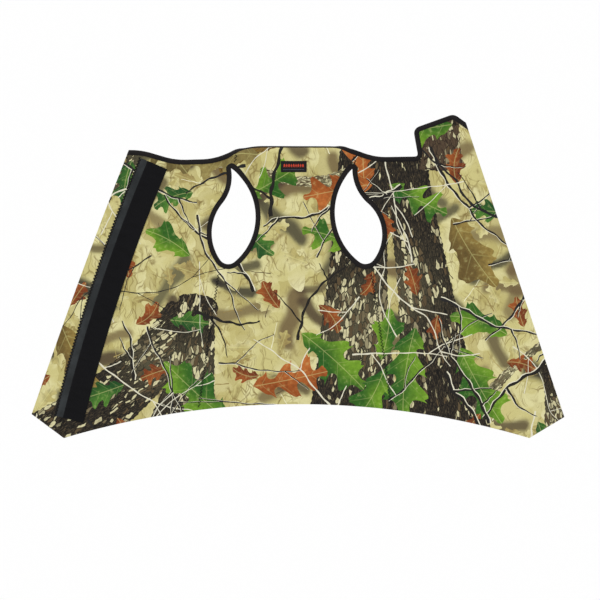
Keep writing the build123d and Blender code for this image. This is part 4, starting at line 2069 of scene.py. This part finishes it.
@dataclass
class HookTape:
    """The hook half of the closure, sewn under the right flap's edge."""

    rows: float = 1.6
    pitch: float = 2.0
    stem: float = 0.13
    inset: float = 1.5

    def build(self) -> None:
        """Make the tape, its hooks and its thread."""
        fold = BENDS["right"]
        low, high = heights("hook_tape_backing")
        first, second = sides_of(outlines("hook_tape_backing")[0])[:2]
        second = second[::-1]
        outer, inner = (resampled(side, 4.0) for side in (first, second))
        wide = float(np.linalg.norm(inner[0] - outer[0]))
        section = [(0.0, high), (0.0, low + 0.15), (0.25, low), (wide / 2, low), (wide - 0.25, low),
                   (wide, low + 0.15), (wide, high)]
        turn = leftward(outer)[0] @ (inner[0] - outer[0])
        section = section if turn > 0 else section[::-1]
        lay_tape("hook_tape_cloth", "hook_tape_backing", (outer, inner), section, fold)
        self.hooks(fold)
        inset = (inner - outer) / wide * self.inset
        threads = [zigzag(line, -1.0, 1.0, low, radius=0.32, up=-1)
                   for line in (outer + inset, inner - inset)]
        made = new_object("thread", *joined(threads))
        Piece("hook_tape_thread", THREAD.material(), THREAD.name, ("hook_tape_stitching",), fold,
              smooth_below=60).placed(made)

    def hooks(self, fold: Fold) -> None:
        """Make the field of hooks, facing to either side row by row.

        Args:
            fold: The fold that the tape turns about.
        """
        high = heights("hook_tape_hooks")[1]
        first, second = sides_of(outlines("hook_tape_hooks")[0])[:2]
        start, along, across = first[0], first[-1] - first[0], second[-1] - first[0]
        long, wide = np.linalg.norm(along), np.linalg.norm(across)
        along, across = along / long, across / wide
        path = np.array([[0, 0, 0.0], [0, 0, -0.36], [0.26, 0, -0.54], [0.5, 0, -0.34]])
        parts = []
        for row, v in enumerate(np.arange(0.7, wide - 0.5, self.rows)):
            facing = 1 if row % 2 else -1
            for u in np.arange(0.8 + (row % 2) * self.pitch / 2, long - 0.8, self.pitch):
                plan = start + along * (u + facing * path[:, :1]) + across * v
                line = np.column_stack([plan, high + path[:, 2]])
                parts.append(tube(line, self.stem, 4))
        made = new_object("hooks", *joined(parts))
        Piece("hook_field", HOOKS.material(), HOOKS.name, ("hook_tape_hooks",), fold,
              smooth_below=60).placed(made)


@dataclass
class Label:
    """The small woven label below the neck, with a plain ornament and no lettering."""

    lie: Lie
    folded_end: float = 2.4
    diamonds: int = 9
    ornament: tuple[float, float] = (29.0, 4.4)
    ornament_rise: float = 1.2
    dots: int = 30
    dot: float = 0.25
    dots_drop: float = 3.6

    def build(self) -> None:
        """Make the label, its ornament and its stitches."""
        low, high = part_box("woven_label")
        middle, size = (np.array(low) + np.array(high)) / 2, np.array(high) - np.array(low)
        made = self.cloth(middle, size)
        Piece("label_cloth", LABEL.material(), LABEL.name, ("woven_label",), smooth_below=40).placed(made)
        centre, top = middle[:2] / MM, high.z / MM
        self.ornaments(centre, top)
        half = size[:2] / MM / 2 - 1.0
        ring = centre + half * np.array([(-1, -1), (1, -1), (1, 1), (-1, 1), (-1, -1)])
        parts = [part for a, b in zip(ring[:-1], ring[1:])
                 for part in stitches(np.array([a, b]), top, pitch=2.6, run=2.1, radius=0.2)]
        made = moved(new_object("stitches", *joined(parts)), self.lie)
        Piece("label_stitches", THREAD.material(), "label_thread", ("label_stitching",),
              smooth_below=60).placed(made)

    def cloth(self, middle: np.ndarray, size: np.ndarray) -> bpy.types.Object:
        """Make the label's cloth from a subdivided plate with softened edges.

        Args:
            middle: The label's middle, in metres.
            size: Its size, in metres.

        Returns:
            The cloth, where it lies.
        """
        bpy.ops.object.select_all(action="DESELECT")
        bpy.ops.mesh.primitive_cube_add(size=1.0, location=(0, 0, 0))
        made = bpy.context.active_object
        made.data.transform(Matrix.Diagonal((*size, 1.0)))
        bpy.ops.object.mode_set(mode="EDIT")
        bpy.ops.mesh.select_all(action="SELECT")
        bpy.ops.mesh.subdivide(number_cuts=11)
        bpy.ops.object.mode_set(mode="OBJECT")
        bevel = made.modifiers.new("edge", "BEVEL")
        bevel.width, bevel.segments, bevel.limit_method = 0.2 * MM, 2, "ANGLE"
        apply_modifiers(made)
        points = coordinates(made)
        fold = np.abs(points[:, 0]) > size[0] / MM / 2 - self.folded_end
        points[:, 2] += np.where(fold & (points[:, 2] > 0), 0.12, 0)
        fill(made.data.attributes.new("cloth", "FLOAT_VECTOR", "POINT").data, "vector", points)
        fill(made.data.vertices, "co", self.lie.shaped(points + middle / MM) * MM)
        made.data.update()
        return made

    def ornaments(self, centre: np.ndarray, top: float) -> None:
        """Make a woven row of diamonds and chevrons, and a dotted line below it.

        Args:
            centre: The label's middle in plan, in millimetres.
            top: Its upper level.
        """
        wide, tall = self.ornament
        step = wide / self.diamonds
        shapes = []
        for number in range(self.diamonds):
            at = centre + [-wide / 2 + step * (number + 0.5), self.ornament_rise]
            w, h = step * 0.38, tall / 2
            diamond = ((0, -h), (w, 0), (0, h), (-w, 0))
            chevron = ((-w, -h), (0, -h * 0.4), (w, -h), (w, h * 0.4), (0, h), (-w, h * 0.4))
            shapes.append([at + corner for corner in (diamond if number % 2 else chevron)])
        self.raised("label_ornament", shapes, top, RED_THREAD)
        across = np.linspace(-wide / 2, wide / 2, self.dots)
        square = [(a * self.dot, b * self.dot) for a, b in ((-1, -1), (1, -1), (1, 1), (-1, 1))]
        dots = [[centre + [x + a, b - self.dots_drop] for a, b in square] for x in across]
        self.raised("label_dots", dots, top, GREY_THREAD)

    def raised(self, name: str, shapes: list, top: float, finish: Cloth) -> None:
        """Make flat woven shapes that stand a little proud of the label.

        Args:
            name: The piece's name.
            shapes: The shapes' corners in plan.
            top: The label's upper level.
            finish: Their thread.
        """
        points, faces = [], []
        for shape in shapes:
            start, count = len(points), len(shape)
            points += [(*p, top - 0.05) for p in shape] + [(*p, top + 0.05) for p in shape]
            faces += [list(range(start, start + count))[::-1], list(range(start + count, start + 2 * count))]
            faces += [[start + i, start + (i + 1) % count, start + count + (i + 1) % count, start + count + i]
                      for i in range(count)]
        made = moved(new_object(name, np.array(points), faces), self.lie)
        Piece(name, finish.material(), LABEL.name).placed(made)


# ---- The stage ----


@dataclass(frozen=True)
class Stage:
    """A white floor well below the vest, even white light, and a camera straight above."""

    middle: Point = (0.0028, -0.0329)
    across: float = 0.84
    height: float = 4.6
    floor: float = -3.5
    floor_size: float = 400
    ambient: float = 0.72
    sun: float = 1.15
    sun_spread: float = 25
    sun_tilt: Point = (-28, -30)
    sensor: float = 36

    def build(self) -> None:
        """Set the floor, light and camera."""
        bpy.ops.object.select_all(action="DESELECT")
        bpy.ops.mesh.primitive_plane_add(size=self.floor_size, location=(0, 0, self.floor))
        ground = bpy.context.active_object
        ground.name = "floor"
        material, _, surface = new_material("white_floor")
        surface.inputs["Base Color"].default_value = (1, 1, 1, 1)
        surface.inputs["Roughness"].default_value = 1.0
        set_shine(surface, 0.0)
        ground.data.materials.append(material)
        world = bpy.data.worlds.new("white")
        world.use_nodes = True
        sky = world.node_tree.nodes["Background"]
        sky.inputs["Color"].default_value = (1, 1, 1, 1)
        sky.inputs["Strength"].default_value = self.ambient
        scene = bpy.context.scene
        scene.world = world
        scene.view_settings.view_transform = "Standard"
        lamp = bpy.data.objects.new("key", bpy.data.lights.new("key", "SUN"))
        lamp.data.energy, lamp.data.angle = self.sun, math.radians(self.sun_spread)
        lamp.rotation_euler = (*map(math.radians, self.sun_tilt), 0)
        eye = bpy.data.objects.new("camera", bpy.data.cameras.new("camera"))
        eye.location = (*self.middle, self.height)
        eye.data.sensor_width = self.sensor
        eye.data.lens = self.sensor * self.height / self.across
        eye.data.clip_start, eye.data.clip_end = 0.1, 100
        for made in (lamp, eye):
            scene.collection.objects.link(made)
        scene.camera = eye


def main() -> None:
    """Build the vest and its stage."""
    logging.basicConfig(level=logging.INFO, format="%(message)s")
    neck, inward = neck_rail()
    lie = Lie(neck=neck[np.argsort(neck[:, 0])])
    Laminate(lie, neck).build()
    Bindings(lie, neck, inward).build()
    for side in SIDES:
        SeamStitching(lie).build(side)
    LoopTape().build()
    HookTape().build()
    Label(lie).build()
    Stage().build()


if __name__ == "__main__":
    main()
